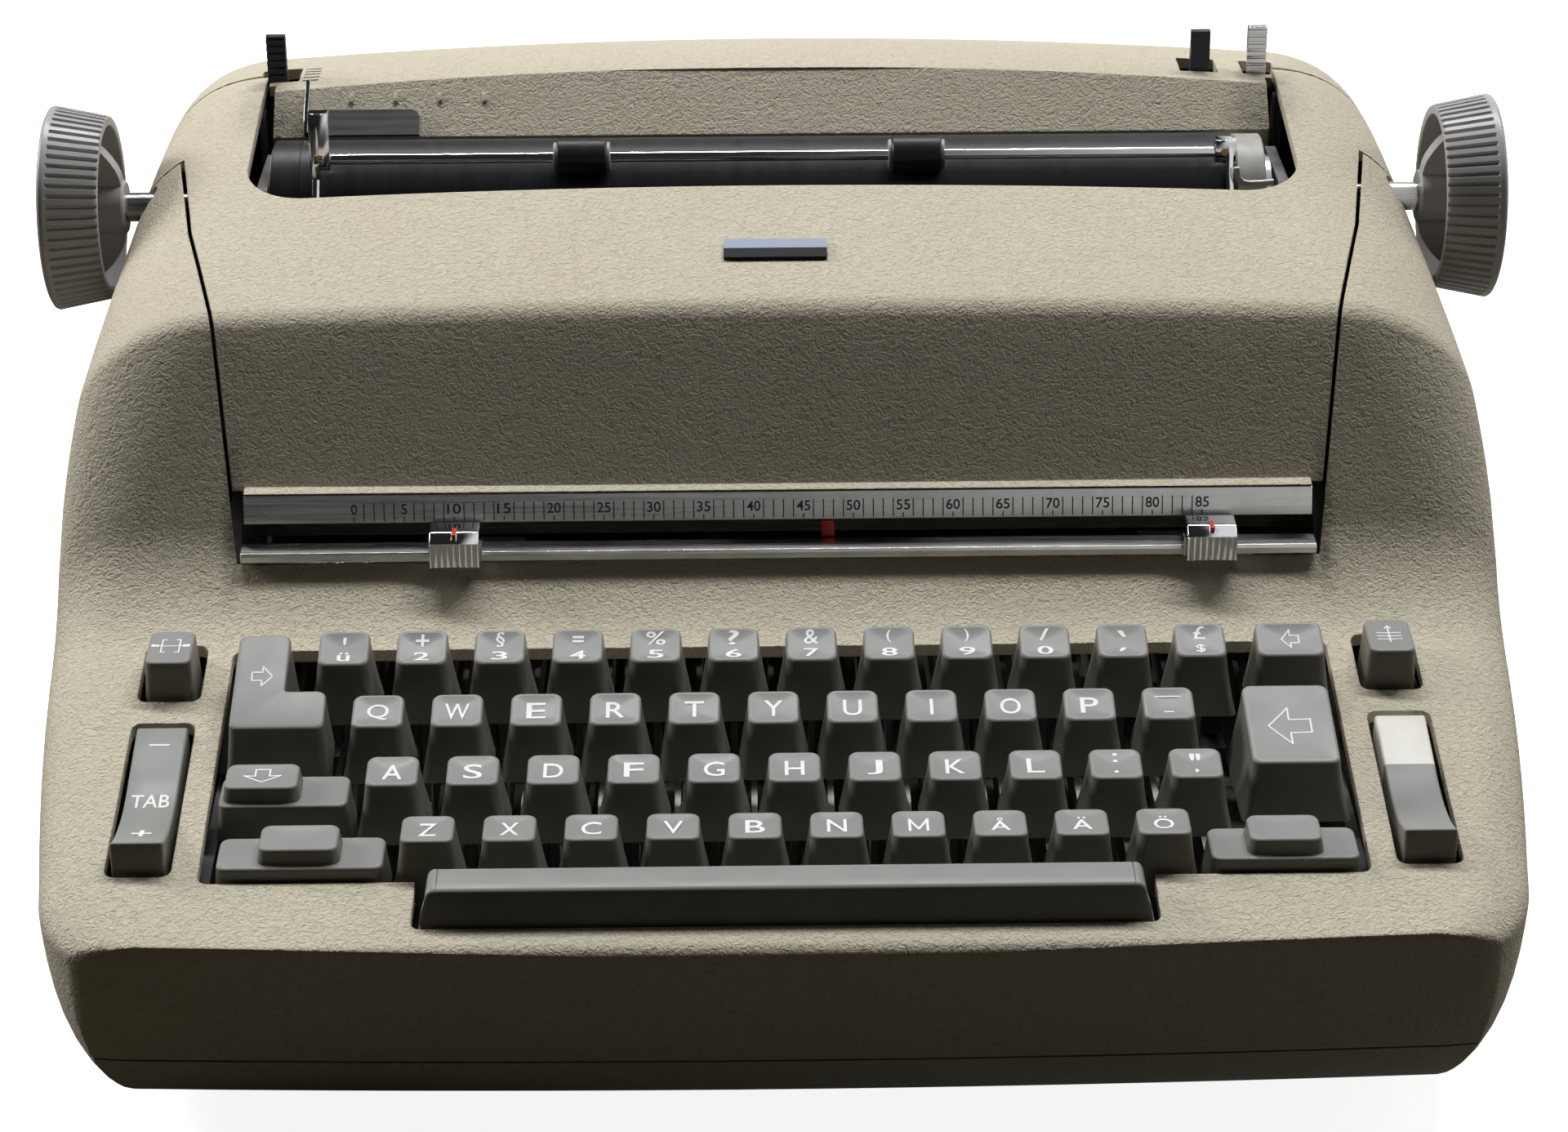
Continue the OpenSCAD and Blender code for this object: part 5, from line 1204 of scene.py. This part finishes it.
# The writing scale: an aluminium strip along the cover's front edge, stamped with black marks and numbers.
# Every fifth place has its number over a short mark.
SCALE_PITCH = 2.54
SCALE_COUNT = 85
SCALE_TOP = Vector((0, -50.3, 110.2))
SCALE_FOOT = Vector((0, -52.2, 103.2))


def metal_finish(name, colour, dark, run, rough, bump=0.12, metal=1.0, spread=0.6):
    # A metal with drawn or ground lines along the run, and slow patches of tarnish
    made, tree, shader = new_finish(name)
    place = add(tree, "ShaderNodeTexCoord")
    along = add(tree, "ShaderNodeMapping", Vector=place.outputs["Object"], Scale=run)
    line = add(tree, "ShaderNodeTexNoise", Vector=along.outputs["Vector"], Scale=1.0, Detail=5.0,
               Roughness=0.6)
    spot = add(tree, "ShaderNodeTexNoise", Vector=place.outputs["Object"], Scale=75.0, Detail=6.0,
               Roughness=0.65)
    patch = add(tree, "ShaderNodeMapRange", n0=spot.outputs["Fac"], n1=0.45, n2=0.8, n4=spread)
    tree.links.new(mixed_colour(tree, patch.outputs["Result"], colour, dark), shader.inputs["Base Color"])
    tree.links.new(add(tree, "ShaderNodeMapRange", n0=line.outputs["Fac"], n1=0.3, n2=0.7, n3=rough * 0.75,
                       n4=rough * 1.3).outputs["Result"],
                   shader.inputs["Roughness"])
    edge = add(tree, "ShaderNodeBevel", {"samples": 4}, Radius=0.00025)
    tree.links.new(add(tree, "ShaderNodeBump", Strength=bump, Distance=0.00006, Height=line.outputs["Fac"],
                       Normal=edge.outputs["Normal"]).outputs["Normal"], shader.inputs["Normal"])
    shader.inputs["Metallic"].default_value = metal
    return made


def coat(finish, *nodes):
    # A construction node that shows as it is gets its finish here
    for label in nodes:
        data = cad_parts[label].data
        data.materials.clear()
        data.materials.append(finish)


aluminium = metal_finish("drawn_aluminium", (0.62, 0.62, 0.6, 1), (0.38, 0.37, 0.34, 1), (25, 1900, 1900),
                         0.3)
stamp_black = handled_finish("stamp_black", 500.0, (0.008, 0.008, 0.01, 1), (0.03, 0.03, 0.03, 1), 0.6)


def scale_form(form):
    made = sheet_form(form, [(-52.2, 103.2), (-50.3, 110.2), (-45.2, 110.2), (-45.2, 105.2), (-50.2, 103.2)],
                      "X", -136, 136)
    corners = [e for e in {e for v in made for e in v.link_edges} if abs(e.verts[0].co.x - e.verts[1].co.x) > 0.1]
    eased(form, corners, 0.25)


piece("scale_strip", body_mesh("scale_strip", scale_form), aluminium, "cover", ["writing_scale"])
face_up = (SCALE_TOP - SCALE_FOOT).normalized()
face_out = Vector((0, -face_up.z, face_up.y))


def on_scale(form, mesh, x, share):
    # Lays a flat outline on the scale's front face; the share runs from the top edge to the foot
    known = set(form.verts)
    form.from_mesh(mesh)
    middle = SCALE_TOP.lerp(SCALE_FOOT, share) + face_out * 0.03
    for vert in [v for v in form.verts if v not in known]:
        vert.co = (middle + Vector((x + vert.co.x, 0, 0)) + face_up * vert.co.y) * MM


def scale_marks(form):
    for n in range(SCALE_COUNT + 1):
        x = (n - SCALE_COUNT / 2) * SCALE_PITCH
        if n % 5:
            on_scale(form, stroke_mesh([[(0, -2.2), (0, 2.2)]], 0.3), x, 0.6)
        else:
            on_scale(form, stroke_mesh([[(0, -0.45), (0, 0.45)]], 0.32), x, 0.86)
            on_scale(form, glyph_mesh(str(n), 2.7, 1.5 if n < 10 else 3.5, 0.05), x, 0.5)


marks_mesh = body_mesh("scale_marks", scale_marks)
piece("scale_marks", marks_mesh, stamp_black, "cover")

# The margin rail and the ratchet behind it are drawn aluminium and steel.
coat(aluminium, "margin_rail")

# The margin stops: chromed blocks that slide on the rail, fluted at the front for the finger, with a red notch
# in the head and a dark tongue that reaches back under the scale.
chrome = metal_finish("bright_chrome", (0.72, 0.73, 0.75, 1), (0.5, 0.5, 0.5, 1), (300, 300, 300), 0.09, 0.02,
                      spread=0.3)
dark_steel = metal_finish("blackened_steel", (0.1, 0.095, 0.09, 1), (0.05, 0.04, 0.03, 1), (40, 900, 900),
                          0.45, metal=0.7)
red_enamel = handled_finish("red_enamel", 300.0, (0.62, 0.02, 0.012, 1), (0.42, 0.025, 0.018, 1), 0.4)
STOP_W = 12.5
RAIL_TOP = 98.3
for stop_name, at_value, nudge, clip_side in (("left", 10, 0.5, 1), ("right", 85, 1.5, -1)):
    x = (at_value - SCALE_COUNT / 2) * SCALE_PITCH + nudge
    y0 = RAIL_FRONT_Y
    form = bmesh.new()
    face = []
    for k in range(49):
        share = k / 48 * 2 - 1
        groove = 0.32 * abs(math.sin(math.pi * 4 * (share + 1)))
        face.append((x + share * STOP_W / 2, y0 - 3.2 + 0.35 * (1 - share * share) - (0.36 - groove)))
    sheet_form(form, [(x - STOP_W / 2, y0 - 0.32)] + face + [(x + STOP_W / 2, y0 - 0.32)], "Z",
               RAIL_TOP - 2.6, RAIL_TOP + 3.9)
    head = sheet_form(form, [(y0 - 3.55, RAIL_TOP + 3.92), (y0 - 0.8, RAIL_TOP + 6.2),
                             (y0 + 5.3, RAIL_TOP + 6.2),
                             (y0 + 5.3, RAIL_TOP + 0.32), (y0 - 0.3, RAIL_TOP + 0.32),
                             (y0 - 0.3, RAIL_TOP + 3.92)], "X",
                      x - STOP_W / 2, x + STOP_W / 2)
    bmesh.ops.recalc_face_normals(form, faces=form.faces)
    eased(form, [e for e in {e for v in head for e in v.link_edges} if e.is_convex], 0.35, 3)
    known = set(form.faces)
    block(form, x - 0.55, x + 0.55, y0 - 2.6, y0 + 1.6, RAIL_TOP + 4.4, RAIL_TOP + 6.26)
    coated(form, known, 1)
    clip_x = x + clip_side * (STOP_W / 2 + 0.35)
    block(form, clip_x - 0.3, clip_x + 0.3, y0 - 0.2, y0 + 6, RAIL_TOP + 0.1, RAIL_TOP + 2.4)
    block(form, clip_x - 0.3, clip_x + 0.3, y0 - 0.9, y0 - 0.25, RAIL_TOP - 2.2, RAIL_TOP + 2.4)
    known = set(form.faces)
    block(form, x - (9 if clip_side > 0 else 17), x + (17 if clip_side > 0 else 9), y0 + 6.8, -45,
          RAIL_TOP - 5, RAIL_TOP - 2.6)
    coated(form, known, 2)
    mesh = made_mesh(form, stop_name + "_stop_block")
    piece(stop_name + "_stop_block", mesh, [chrome, red_enamel, dark_steel], stop_name + "_stop",
          [stop_name + "_margin_stop"])

# The name plate: a small glossy plate let into the cover, pale above and black below, and left blank.
PLATE_Y = 0.5
plate_dark = handled_finish("plate_enamel", 200.0, (0.008, 0.009, 0.013, 1), (0.05, 0.05, 0.05, 1), 0.45,
                            "Speck", 0.1)
plate_pale = handled_finish("plate_pale_enamel", 200.0, (0.36, 0.41, 0.52, 1), (0.3, 0.33, 0.4, 1), 0.45,
                            "Speck", 0.1)
form = bmesh.new()
block(form, -13.5, 13.5, -4.4, 4.4, 0, 0.9, 0.3, 2)
bmesh.ops.bisect_plane(form, geom=form.verts[:] + form.edges[:] + form.faces[:], plane_co=(0, 0, 0),
                       plane_no=(0, 1, 0))
for made in form.faces:
    made.material_index = 1 if made.calc_center_median().y > 0 else 0
mesh = made_mesh(form, "blank_plate")
mesh.transform(Matrix.Translation(Vector((0, PLATE_Y,
                                          top_z(PLATE_Y) + 0.1)) * MM) @ Matrix.Rotation(TOP_SLOPE, 4, "X"))
piece("blank_plate", mesh, [plate_dark, plate_pale], "cover", ["name_plate"])

# The platen: a hard rubber roller, ground smooth, on a steel core with pale end flanges.
# A fine seam shows near its left end.
rubber, rubber_tree, rubber_shader = new_finish("hard_rubber")
rubber_place = add(rubber_tree, "ShaderNodeTexCoord")
rubber_run = add(rubber_tree, "ShaderNodeMapping", Vector=rubber_place.outputs["Object"], Scale=(340, 25, 25))
rubber_line = add(rubber_tree, "ShaderNodeTexNoise", Vector=rubber_run.outputs["Vector"], Scale=1.0,
                  Detail=4.0)
rubber_dust = put_group(rubber_tree, worn_plastic, Scale=55.0)
rubber_grey = mixed_colour(rubber_tree, rubber_line.outputs["Fac"], (0.012, 0.012, 0.015, 1),
                           (0.024, 0.024, 0.028, 1))
rubber_dusty = mixed_colour(rubber_tree, multiplied(rubber_tree, rubber_dust.outputs["Speck"], 0.3),
                            rubber_grey, (0.12, 0.11, 0.1, 1))
rubber_tree.links.new(rubber_dusty, rubber_shader.inputs["Base Color"])
rubber_tree.links.new(add(rubber_tree, "ShaderNodeMapRange", n0=rubber_line.outputs["Fac"], n3=0.3,
                          n4=0.52).outputs["Result"],
                      rubber_shader.inputs["Roughness"])
rubber_tree.links.new(add(rubber_tree, "ShaderNodeBump", Strength=0.25, Distance=0.00015,
                          Height=rubber_line.outputs["Fac"]).outputs["Normal"],
                      rubber_shader.inputs["Normal"])
rubber_shader.inputs["Specular IOR Level"].default_value = 0.25
shaft_steel = metal_finish("ground_steel", (0.55, 0.55, 0.54, 1), (0.3, 0.27, 0.22, 1), (20, 1500, 1500),
                           0.24)
pale_flange = handled_finish("pale_flange", 120.0, (0.42, 0.41, 0.39, 1), (0.3, 0.28, 0.25, 1), 0.45)
form = bmesh.new()
turned(form, [(-137.4, SHAFT_R), (-137.4, 17.5), (-137, PLATEN_R), (-129.6, PLATEN_R), (-129.5, 17.85),
              (-129.4, PLATEN_R),
              (126.6, PLATEN_R), (127, 17.6), (127, SHAFT_R)], PLATEN_Y, PLATEN_Z, 128)
rubber_faces = set(form.faces)
turned(form, [(127.1, SHAFT_R), (127.1, 17.4), (127.5, 17.7), (134.6, 17.7), (135, 17.3), (135, SHAFT_R)],
       PLATEN_Y, PLATEN_Z, 128)
turned(form, [(-137.8, SHAFT_R), (-137.8, 16.4), (-137.45, 16.6), (-137.45, SHAFT_R)], PLATEN_Y, PLATEN_Z, 96)
bmesh.ops.recalc_face_normals(form, faces=form.faces)
coated(form, rubber_faces, 1)
mesh = made_mesh(form, "platen_roller")
piece("platen_roller", mesh, [rubber, pale_flange], "platen_unit", ["platen"])
coat(shaft_steel, "platen_shaft")

# The knobs: deep cups moulded in grey plastic, ribbed on the outside, open towards the machine,
# with an arched web across the inside and a hub pinned on the shaft.
KNOB_FACE_X = 199.3
KNOB_R = 28.2
KNOB_W = 16.0
KNOB_GROOVES = 60
KNOB_HUB_R = 7.5
KNOB_TIP_X = 179.2
knob_inner = KNOB_FACE_X - KNOB_W


def knob_form(form):
    outline = [(KNOB_FACE_X, 0.01, 0), (KNOB_FACE_X - 0.6, 14, 0), (KNOB_FACE_X - 0.4, 22, 0),
               (KNOB_FACE_X, 26.2, 0),
               (KNOB_FACE_X - 0.1, 27.2, 0), (KNOB_FACE_X - 0.5, 27.9, 0), (KNOB_FACE_X - 1.1, KNOB_R, 0)]
    slope = 3 / (KNOB_W - 1)
    for d, g in ((1.9, 0), (2.4, 0), (2.7, 1), (6, 1), (10, 1), (13.5, 1), (15.2, 1)):
        outline.append((KNOB_FACE_X - d, KNOB_R - slope * (d - 1), g))
    outline += [(knob_inner + 0.3, KNOB_R - 3, 0.6), (knob_inner, KNOB_R - 3.3, 0.2),
                (knob_inner, KNOB_R - 5.3, 0),
                (knob_inner + 0.3, KNOB_R - 5.6, 0), (KNOB_FACE_X - 4.3, KNOB_R - 3.7, 0),
                (KNOB_FACE_X - 4, KNOB_R - 4.2, 0), (KNOB_FACE_X - 4, 0.01, 0)]
    columns = KNOB_GROOVES * 6 + 1
    net = bmesh.ops.create_grid(form, x_segments=columns - 1, y_segments=len(outline) - 1, size=1)["verts"]
    for k, vert in enumerate(net):
        x, r, groove = outline[k // columns]
        step = k % columns
        if step % 6 in (3, 4):
            r -= 0.85 * groove
        turn = 4 * QUARTER * step / (columns - 1)
        vert.co = Vector((x, PLATEN_Y + r * math.cos(turn), PLATEN_Z + r * math.sin(turn))) * MM
    bmesh.ops.remove_doubles(form, verts=net, dist=2e-6)
    turned(form, [(KNOB_TIP_X, SHAFT_R), (KNOB_TIP_X, KNOB_HUB_R - 0.6), (KNOB_TIP_X + 0.6, KNOB_HUB_R),
                  (KNOB_FACE_X - 4.1, KNOB_HUB_R),
                  (KNOB_FACE_X - 4.1, SHAFT_R)], PLATEN_Y, PLATEN_Z, 48)
    half = [(KNOB_HUB_R - 1, KNOB_TIP_X + 0.6), (9.6, KNOB_TIP_X + 1.2), (11.5, KNOB_TIP_X + 1.9),
            (14, KNOB_TIP_X + 3.4), (16, KNOB_TIP_X + 4.9), (18, KNOB_TIP_X + 6.9),
            (20, KNOB_TIP_X + 9), (21.7, KNOB_TIP_X + 11.3), (23, KNOB_TIP_X + 13.6),
            (24.3, KNOB_FACE_X - 4.1)]
    outline = [(x, PLATEN_Z + r) for r, x in half] + [(x, PLATEN_Z - r) for r, x in reversed(half)]
    sheet_form(form, outline, "Y", PLATEN_Y - 2.5, PLATEN_Y + 2.5)


knob_plastic = handled_finish("knob_plastic", 50.0, (0.42, 0.405, 0.415, 1), (0.48, 0.465, 0.455, 1), 0.36,
                              bump=0.1)
for side_name, side in (("left", -1), ("right", 1)):
    mesh = body_mesh(side_name + "_knob_cup", knob_form)
    if side < 0:
        mesh.transform(Matrix.Diagonal((-1, 1, 1, 1)))
        mesh.flip_normals()
    piece(side_name + "_knob_cup", mesh, knob_plastic, "platen_unit", [side_name + "_knob"], sharp=40)

# The paper bail: a bright rod in two chromed arms that swing up from below the platen, each with a square head.
# A white painted finger rides on its right end.
BAIL_Y = 49.0
BAIL_Z = 165.1
BAIL_ARM_X = 123.4
BAIL_PIVOT_Z = 118.0
coat(chrome, "bail_rod")


def bail_arm_form(form):
    for side, tip in ((-1, 178), (1, 168.4)):
        x0, x1 = sorted((side * BAIL_ARM_X, side * (BAIL_ARM_X + 2)))
        sheet_form(form, [(51, tip), (47.4, tip), (46.6, 160), (38.6, 151), (38.6, 140),
                          (44.6, BAIL_PIVOT_Z - 4),
                          (51.4, BAIL_PIVOT_Z - 4), (51, BAIL_PIVOT_Z + 5), (42.6, 140.5), (42.6, 151),
                          (51, 161)], "X", x0, x1)
        x0, x1 = sorted((side * (BAIL_ARM_X + (2.4 if side < 0 else 2.7)), side * (BAIL_ARM_X - 3.1)))
        sheet_form(form, [(47.2, 162.3), (51, 162.3), (51, tip + 0.6), (47.2, tip + 0.6)], "X", x0, x1)
    bmesh.ops.recalc_face_normals(form, faces=form.faces)
    eased(form, [e for e in form.edges if e.is_convex and e.calc_face_angle(0) > 0.8], 0.3)


arm_mesh = carved("bail_arm_plates", body_mesh("bail_arm_plates", bail_arm_form),
                  [("DIFFERENCE", body_mesh("screw_hole",
                                            lambda f: block(f, -124.6, -122.4, 46, 48.6, 164.5, 166.7)))])
piece("bail_arm_plates", arm_mesh, chrome, "bail", ["bail_arms"])
bronze = metal_finish("bronze_screw", (0.36, 0.24, 0.12, 1), (0.15, 0.1, 0.05, 1), (300, 300, 300), 0.35)


def bail_screw(form):
    for x, y, z, r in ((122.9, 47.35, 165.5, 1.15), (-123.5, 47.9, 165.6, 0.9)):
        turn = Matrix.Translation(Vector((x, y, z)) * MM) @ Matrix.Rotation(QUARTER, 4, "X")
        bmesh.ops.create_cone(form, cap_ends=True, segments=32, radius1=r * MM, radius2=r * MM * 0.9,
                              depth=0.6 * MM, matrix=turn)
        bmesh.ops.create_cone(form, cap_ends=True, segments=32, radius1=r * MM * 1.5, radius2=r * MM * 1.5,
                              depth=0.2 * MM, matrix=turn)
    drum(form, -141, 141, 48, BAIL_PIVOT_Z, 2.48, 32)


piece("bail_screws", body_mesh("bail_screws", bail_screw), bronze, "bail")
finger_paint = handled_finish("finger_paint", 200.0, (0.8, 0.79, 0.76, 1), (0.5, 0.48, 0.42, 1), 0.4, "Speck")


def finger_form(form):
    path = [(125.9, 162.2), (126, 160.6), (126.6, 159), (127.8, 157.9), (129.4, 157.5), (133, 157.6),
            (136.2, 157.9)]
    wide = 1.5
    left = []
    right = []
    for k, (x, z) in enumerate(path):
        ax, az = path[max(0, k - 1)]
        bx, bz = path[min(len(path) - 1, k + 1)]
        run = math.hypot(bx - ax, bz - az)
        left.append((x + (bz - az) / run * wide / 2, z - (bx - ax) / run * wide / 2))
        right.append((x - (bz - az) / run * wide / 2, z + (bx - ax) / run * wide / 2))
    sheet_form(form, left + right[::-1], "Y", 43.6, 44.8)


piece("bail_finger", body_mesh("bail_finger", finger_form), finger_paint, "bail")

# The bail rollers: soft black rubber sleeves with pale bushes at their ends.
BAIL_ROLLER_R = 5.1
BAIL_ROLLER_L = 15.3
form = bmesh.new()
for x in (-52, 39):
    x0, x1 = x - BAIL_ROLLER_L / 2 + 0.9, x + BAIL_ROLLER_L / 2 - 0.9
    turned(form, [(x0, 3.6), (x0, 4.7), (x0 + 0.4, BAIL_ROLLER_R), (x1 - 0.4, BAIL_ROLLER_R), (x1, 4.7),
                  (x1, 3.6)], BAIL_Y, BAIL_Z, 64)
sleeves = set(form.faces)
for x in (-52, 39):
    x0, x1 = x - BAIL_ROLLER_L / 2, x + BAIL_ROLLER_L / 2
    turned(form, [(x0, 1.56), (x0, 3.9), (x0 + 0.3, 4.1), (x0 + 0.85, 4.1), (x0 + 0.9, 3.5), (x1 - 0.9, 3.5),
                  (x1 - 0.85, 4.1), (x1 - 0.3, 4.1), (x1, 3.9),
                  (x1, 1.56)], BAIL_Y, BAIL_Z, 48)
bmesh.ops.recalc_face_normals(form, faces=form.faces)
coated(form, sleeves, 1)
mesh = made_mesh(form, "bail_sleeves")
piece("bail_sleeves", mesh, [rubber, pale_flange], "bail_roller_set", ["bail_rollers"])

# The paper guide: a satin grey plate on the sloping wall behind the platen, with a bright upright fin at its left.
lip_run = Vector((LIP_Y - LIP_FOOT[0], lip_top - LIP_FOOT[1])).normalized()
lip_rise = Vector((-lip_run.y, lip_run.x))
guide_grey = metal_finish("satin_guide", (0.13, 0.13, 0.135, 1), (0.08, 0.075, 0.07, 1), (30, 600, 600), 0.42,
                          metal=0.5)


def on_lip(a, b):
    # A point in the side view, a along the sloping wall and b out from it
    spot = Vector(LIP_FOOT) + lip_run * a + lip_rise * (b + 0.3)
    return spot.x, spot.y


def guide_form(form):
    corners = [(-126, 0), (-99, 0), (-99, 5.6), (-99.4, 6.9), (-100.3, 7.7), (-101.4, 8), (-126, 8)]
    rows = [[form.verts.new(Vector((x, *on_lip(a, b))) * MM) for x, a in corners] for b in (0, 1.1)]
    form.faces.new(rows[0])
    form.faces.new(rows[1])
    for k in range(len(corners)):
        form.faces.new((rows[0][k], rows[0][(k + 1) % len(corners)], rows[1][(k + 1) % len(corners)],
                        rows[1][k]))
    sheet_form(form, [on_lip(0, 0), on_lip(5, 0), on_lip(5, 1.2), on_lip(0, 1.2)], "X", -131, -125.9)


def fin_form(form):
    sheet_form(form, [on_lip(0, 1.25), on_lip(0, 3), on_lip(2, 3.6), on_lip(6, 4), on_lip(17, 1.5),
                      on_lip(17, 0), on_lip(5.1, 0), on_lip(5.1, 1.25)],
               "X", -131, -129.9)


piece("guide_plate", body_mesh("guide_plate", guide_form), guide_grey, "guide", ["paper_guide"])
piece("guide_fin", body_mesh("guide_fin", fin_form), chrome, "guide")

# Four low ribs cast on the wall behind the platen mark the places for the guide; they carry the case's paint.
def wall_ribs(form):
    for x in (-118.3, -105.8, -93.4, -80.9):
        made = sheet_form(form, [on_lip(10.2, -0.6), on_lip(10.6, 0.3), on_lip(13.4, 0.3),
                                 on_lip(13.8, -0.6)], "X", x - 0.7, x + 0.7)
        eased(form, {e for v in made for e in v.link_edges}, 0.25)


piece("wall_ribs", body_mesh("wall_ribs", wall_ribs), paint, "chassis")

# The levers at the rear: flat steel bars that come up through slots in the case. The left one and the inner right one
# are blackened, the outer one is chromed; the outer pair is cut with ridges for the finger.
LEVER_TIP_Z = 183.6
LEVER_POST_Y = 104.0
LEVER_PIVOT_Z = 132.0
ridged_black = metal_finish("ridged_black", (0.045, 0.045, 0.06, 1), (0.1, 0.1, 0.11, 1), (300, 300, 900),
                            0.4, metal=0.6)
for lever_name, x, tip, arm, ridged, lever_coat in (
        ("copy_control", COPY_LEVER_X, LEVER_TIP_Z, (-142.7, -141.2), True, ridged_black),
        ("line_space", SPACE_LEVER_X, LEVER_TIP_Z - 0.7, (SPACE_LEVER_X - 2, SPACE_LEVER_X + 2), False,
         ridged_black),
        ("paper_release", RELEASE_LEVER_X, LEVER_TIP_Z + 0.4, (135.3, 137.8), True, chrome)):
    form = bmesh.new()
    front = [(LEVER_POST_Y - 4.6, 154), (LEVER_POST_Y - 4.3, 170)]
    if ridged:
        for k in range(6):
            z = tip - 12.6 + 2.1 * k
            front += [(LEVER_POST_Y - 4.2, z), (LEVER_POST_Y - 4.15, z + 1.1), (LEVER_POST_Y - 3.5, z + 1.3),
                      (LEVER_POST_Y - 3.5, z + 1.9)]
    outline = front + [(LEVER_POST_Y - 4, tip - 0.1), (LEVER_POST_Y - 3.9, tip), (LEVER_POST_Y - 1.6, tip),
                       (LEVER_POST_Y - 1.5, tip - 0.1),
                       (LEVER_POST_Y - 0.6, 154)]
    sheet_form(form, outline, "X", x - LEVER_W / 2, x + LEVER_W / 2)
    sheet_form(form, [(LEVER_POST_Y - 4, LEVER_PIVOT_Z + 5), (LEVER_POST_Y - 4.6, 158),
                      (LEVER_POST_Y - 0.6, 158),
                      (LEVER_POST_Y + 4, LEVER_PIVOT_Z + 4.2)], "X", *arm)
    turned(form, [(arm[0], 3.05), (arm[1], 3.05), (arm[1], 5.6), (arm[0], 5.6)], LEVER_POST_Y, LEVER_PIVOT_Z,
           40)
    bmesh.ops.recalc_face_normals(form, faces=form.faces)
    mesh = made_mesh(form, lever_name + "_bar")
    piece(lever_name + "_bar", mesh, lever_coat, lever_name, [lever_name + "_lever"])

# The pointer: a small red tongue on the carrier that shows the writing place below the scale.
POINTER_X = 12.5


def pointer_form(form):
    block(form, POINTER_X - 1.7, POINTER_X + 1.7, -52.4, -48.95, 96.9, 102.8)
    for vert in form.verts:
        if vert.co.z > 0.1:
            vert.co.y += 0.0001 if vert.co.y < -0.05 else 0
    eased(form, form.edges, 0.18)


pointer_red = handled_finish("pointer_red", 300.0, (0.62, 0.012, 0.01, 1), (0.45, 0.02, 0.012, 1), 0.42)
piece("pointer_tip", body_mesh("pointer_tip", pointer_form), pointer_red, "carrier_unit")

# The works inside: a plated frame made dark as painted shade, a painted motor, cast carrier, ground rails and shafts,
# and rubber rollers.
# They show as built, each in its own finish.
# Painted shade: the frame's plating is given a dark colour, as the works sit in shade
frame_plate_with_painted_shade = metal_finish("plated_frame_with_painted_shade", (0.2, 0.2, 0.2, 1), (0.1, 0.09, 0.08, 1), (60, 60, 400), 0.45,
                           metal=0.8)
motor_enamel = mottled_finish("motor_enamel", 300.0, 50.0, (0.05, 0.055, 0.06, 1), (0.1, 0.1, 0.1, 1), 0.5,
                              0.3, 0.0003)
foot_rubber = mottled_finish("foot_rubber", 500.0, 60.0, (0.02, 0.02, 0.02, 1), (0.06, 0.055, 0.05, 1), 0.8,
                             0.4)
socket_plastic = handled_finish("socket_plastic", 80.0, (0.012, 0.012, 0.013, 1), (0.035, 0.034, 0.032, 1),
                                0.38)
cast_grey = metal_finish("cast_grey", (0.22, 0.22, 0.225, 1), (0.12, 0.115, 0.11, 1), (160, 160, 160), 0.5,
                         metal=0.6)
element_silver = metal_finish("element_plating", (0.6, 0.6, 0.61, 1), (0.42, 0.41, 0.39, 1), (200, 200, 900),
                              0.28)
coat(foot_rubber, "rubber_feet", "drive_belt")
coat(rubber, "front_feed_roller", "rear_feed_roller")
coat(socket_plastic, "power_inlet", "ribbon_cartridge")
coat(frame_plate_with_painted_shade, "power_frame", "key_guide_comb", "rocker_pivot_pins", "cover_hinge_brackets",
     "cover_hinge_arms")
coat(motor_enamel, "motor")
coat(cast_grey, "carrier", "paper_pan", "drive_hub")
coat(element_silver, "typing_element")
coat(shaft_steel, "carrier_rail", "escapement_rack", "key_fulcrum_rod", "print_shaft", "motor_pulley",
     "lever_pivot_pins")
coat(bronze, "case_screws")
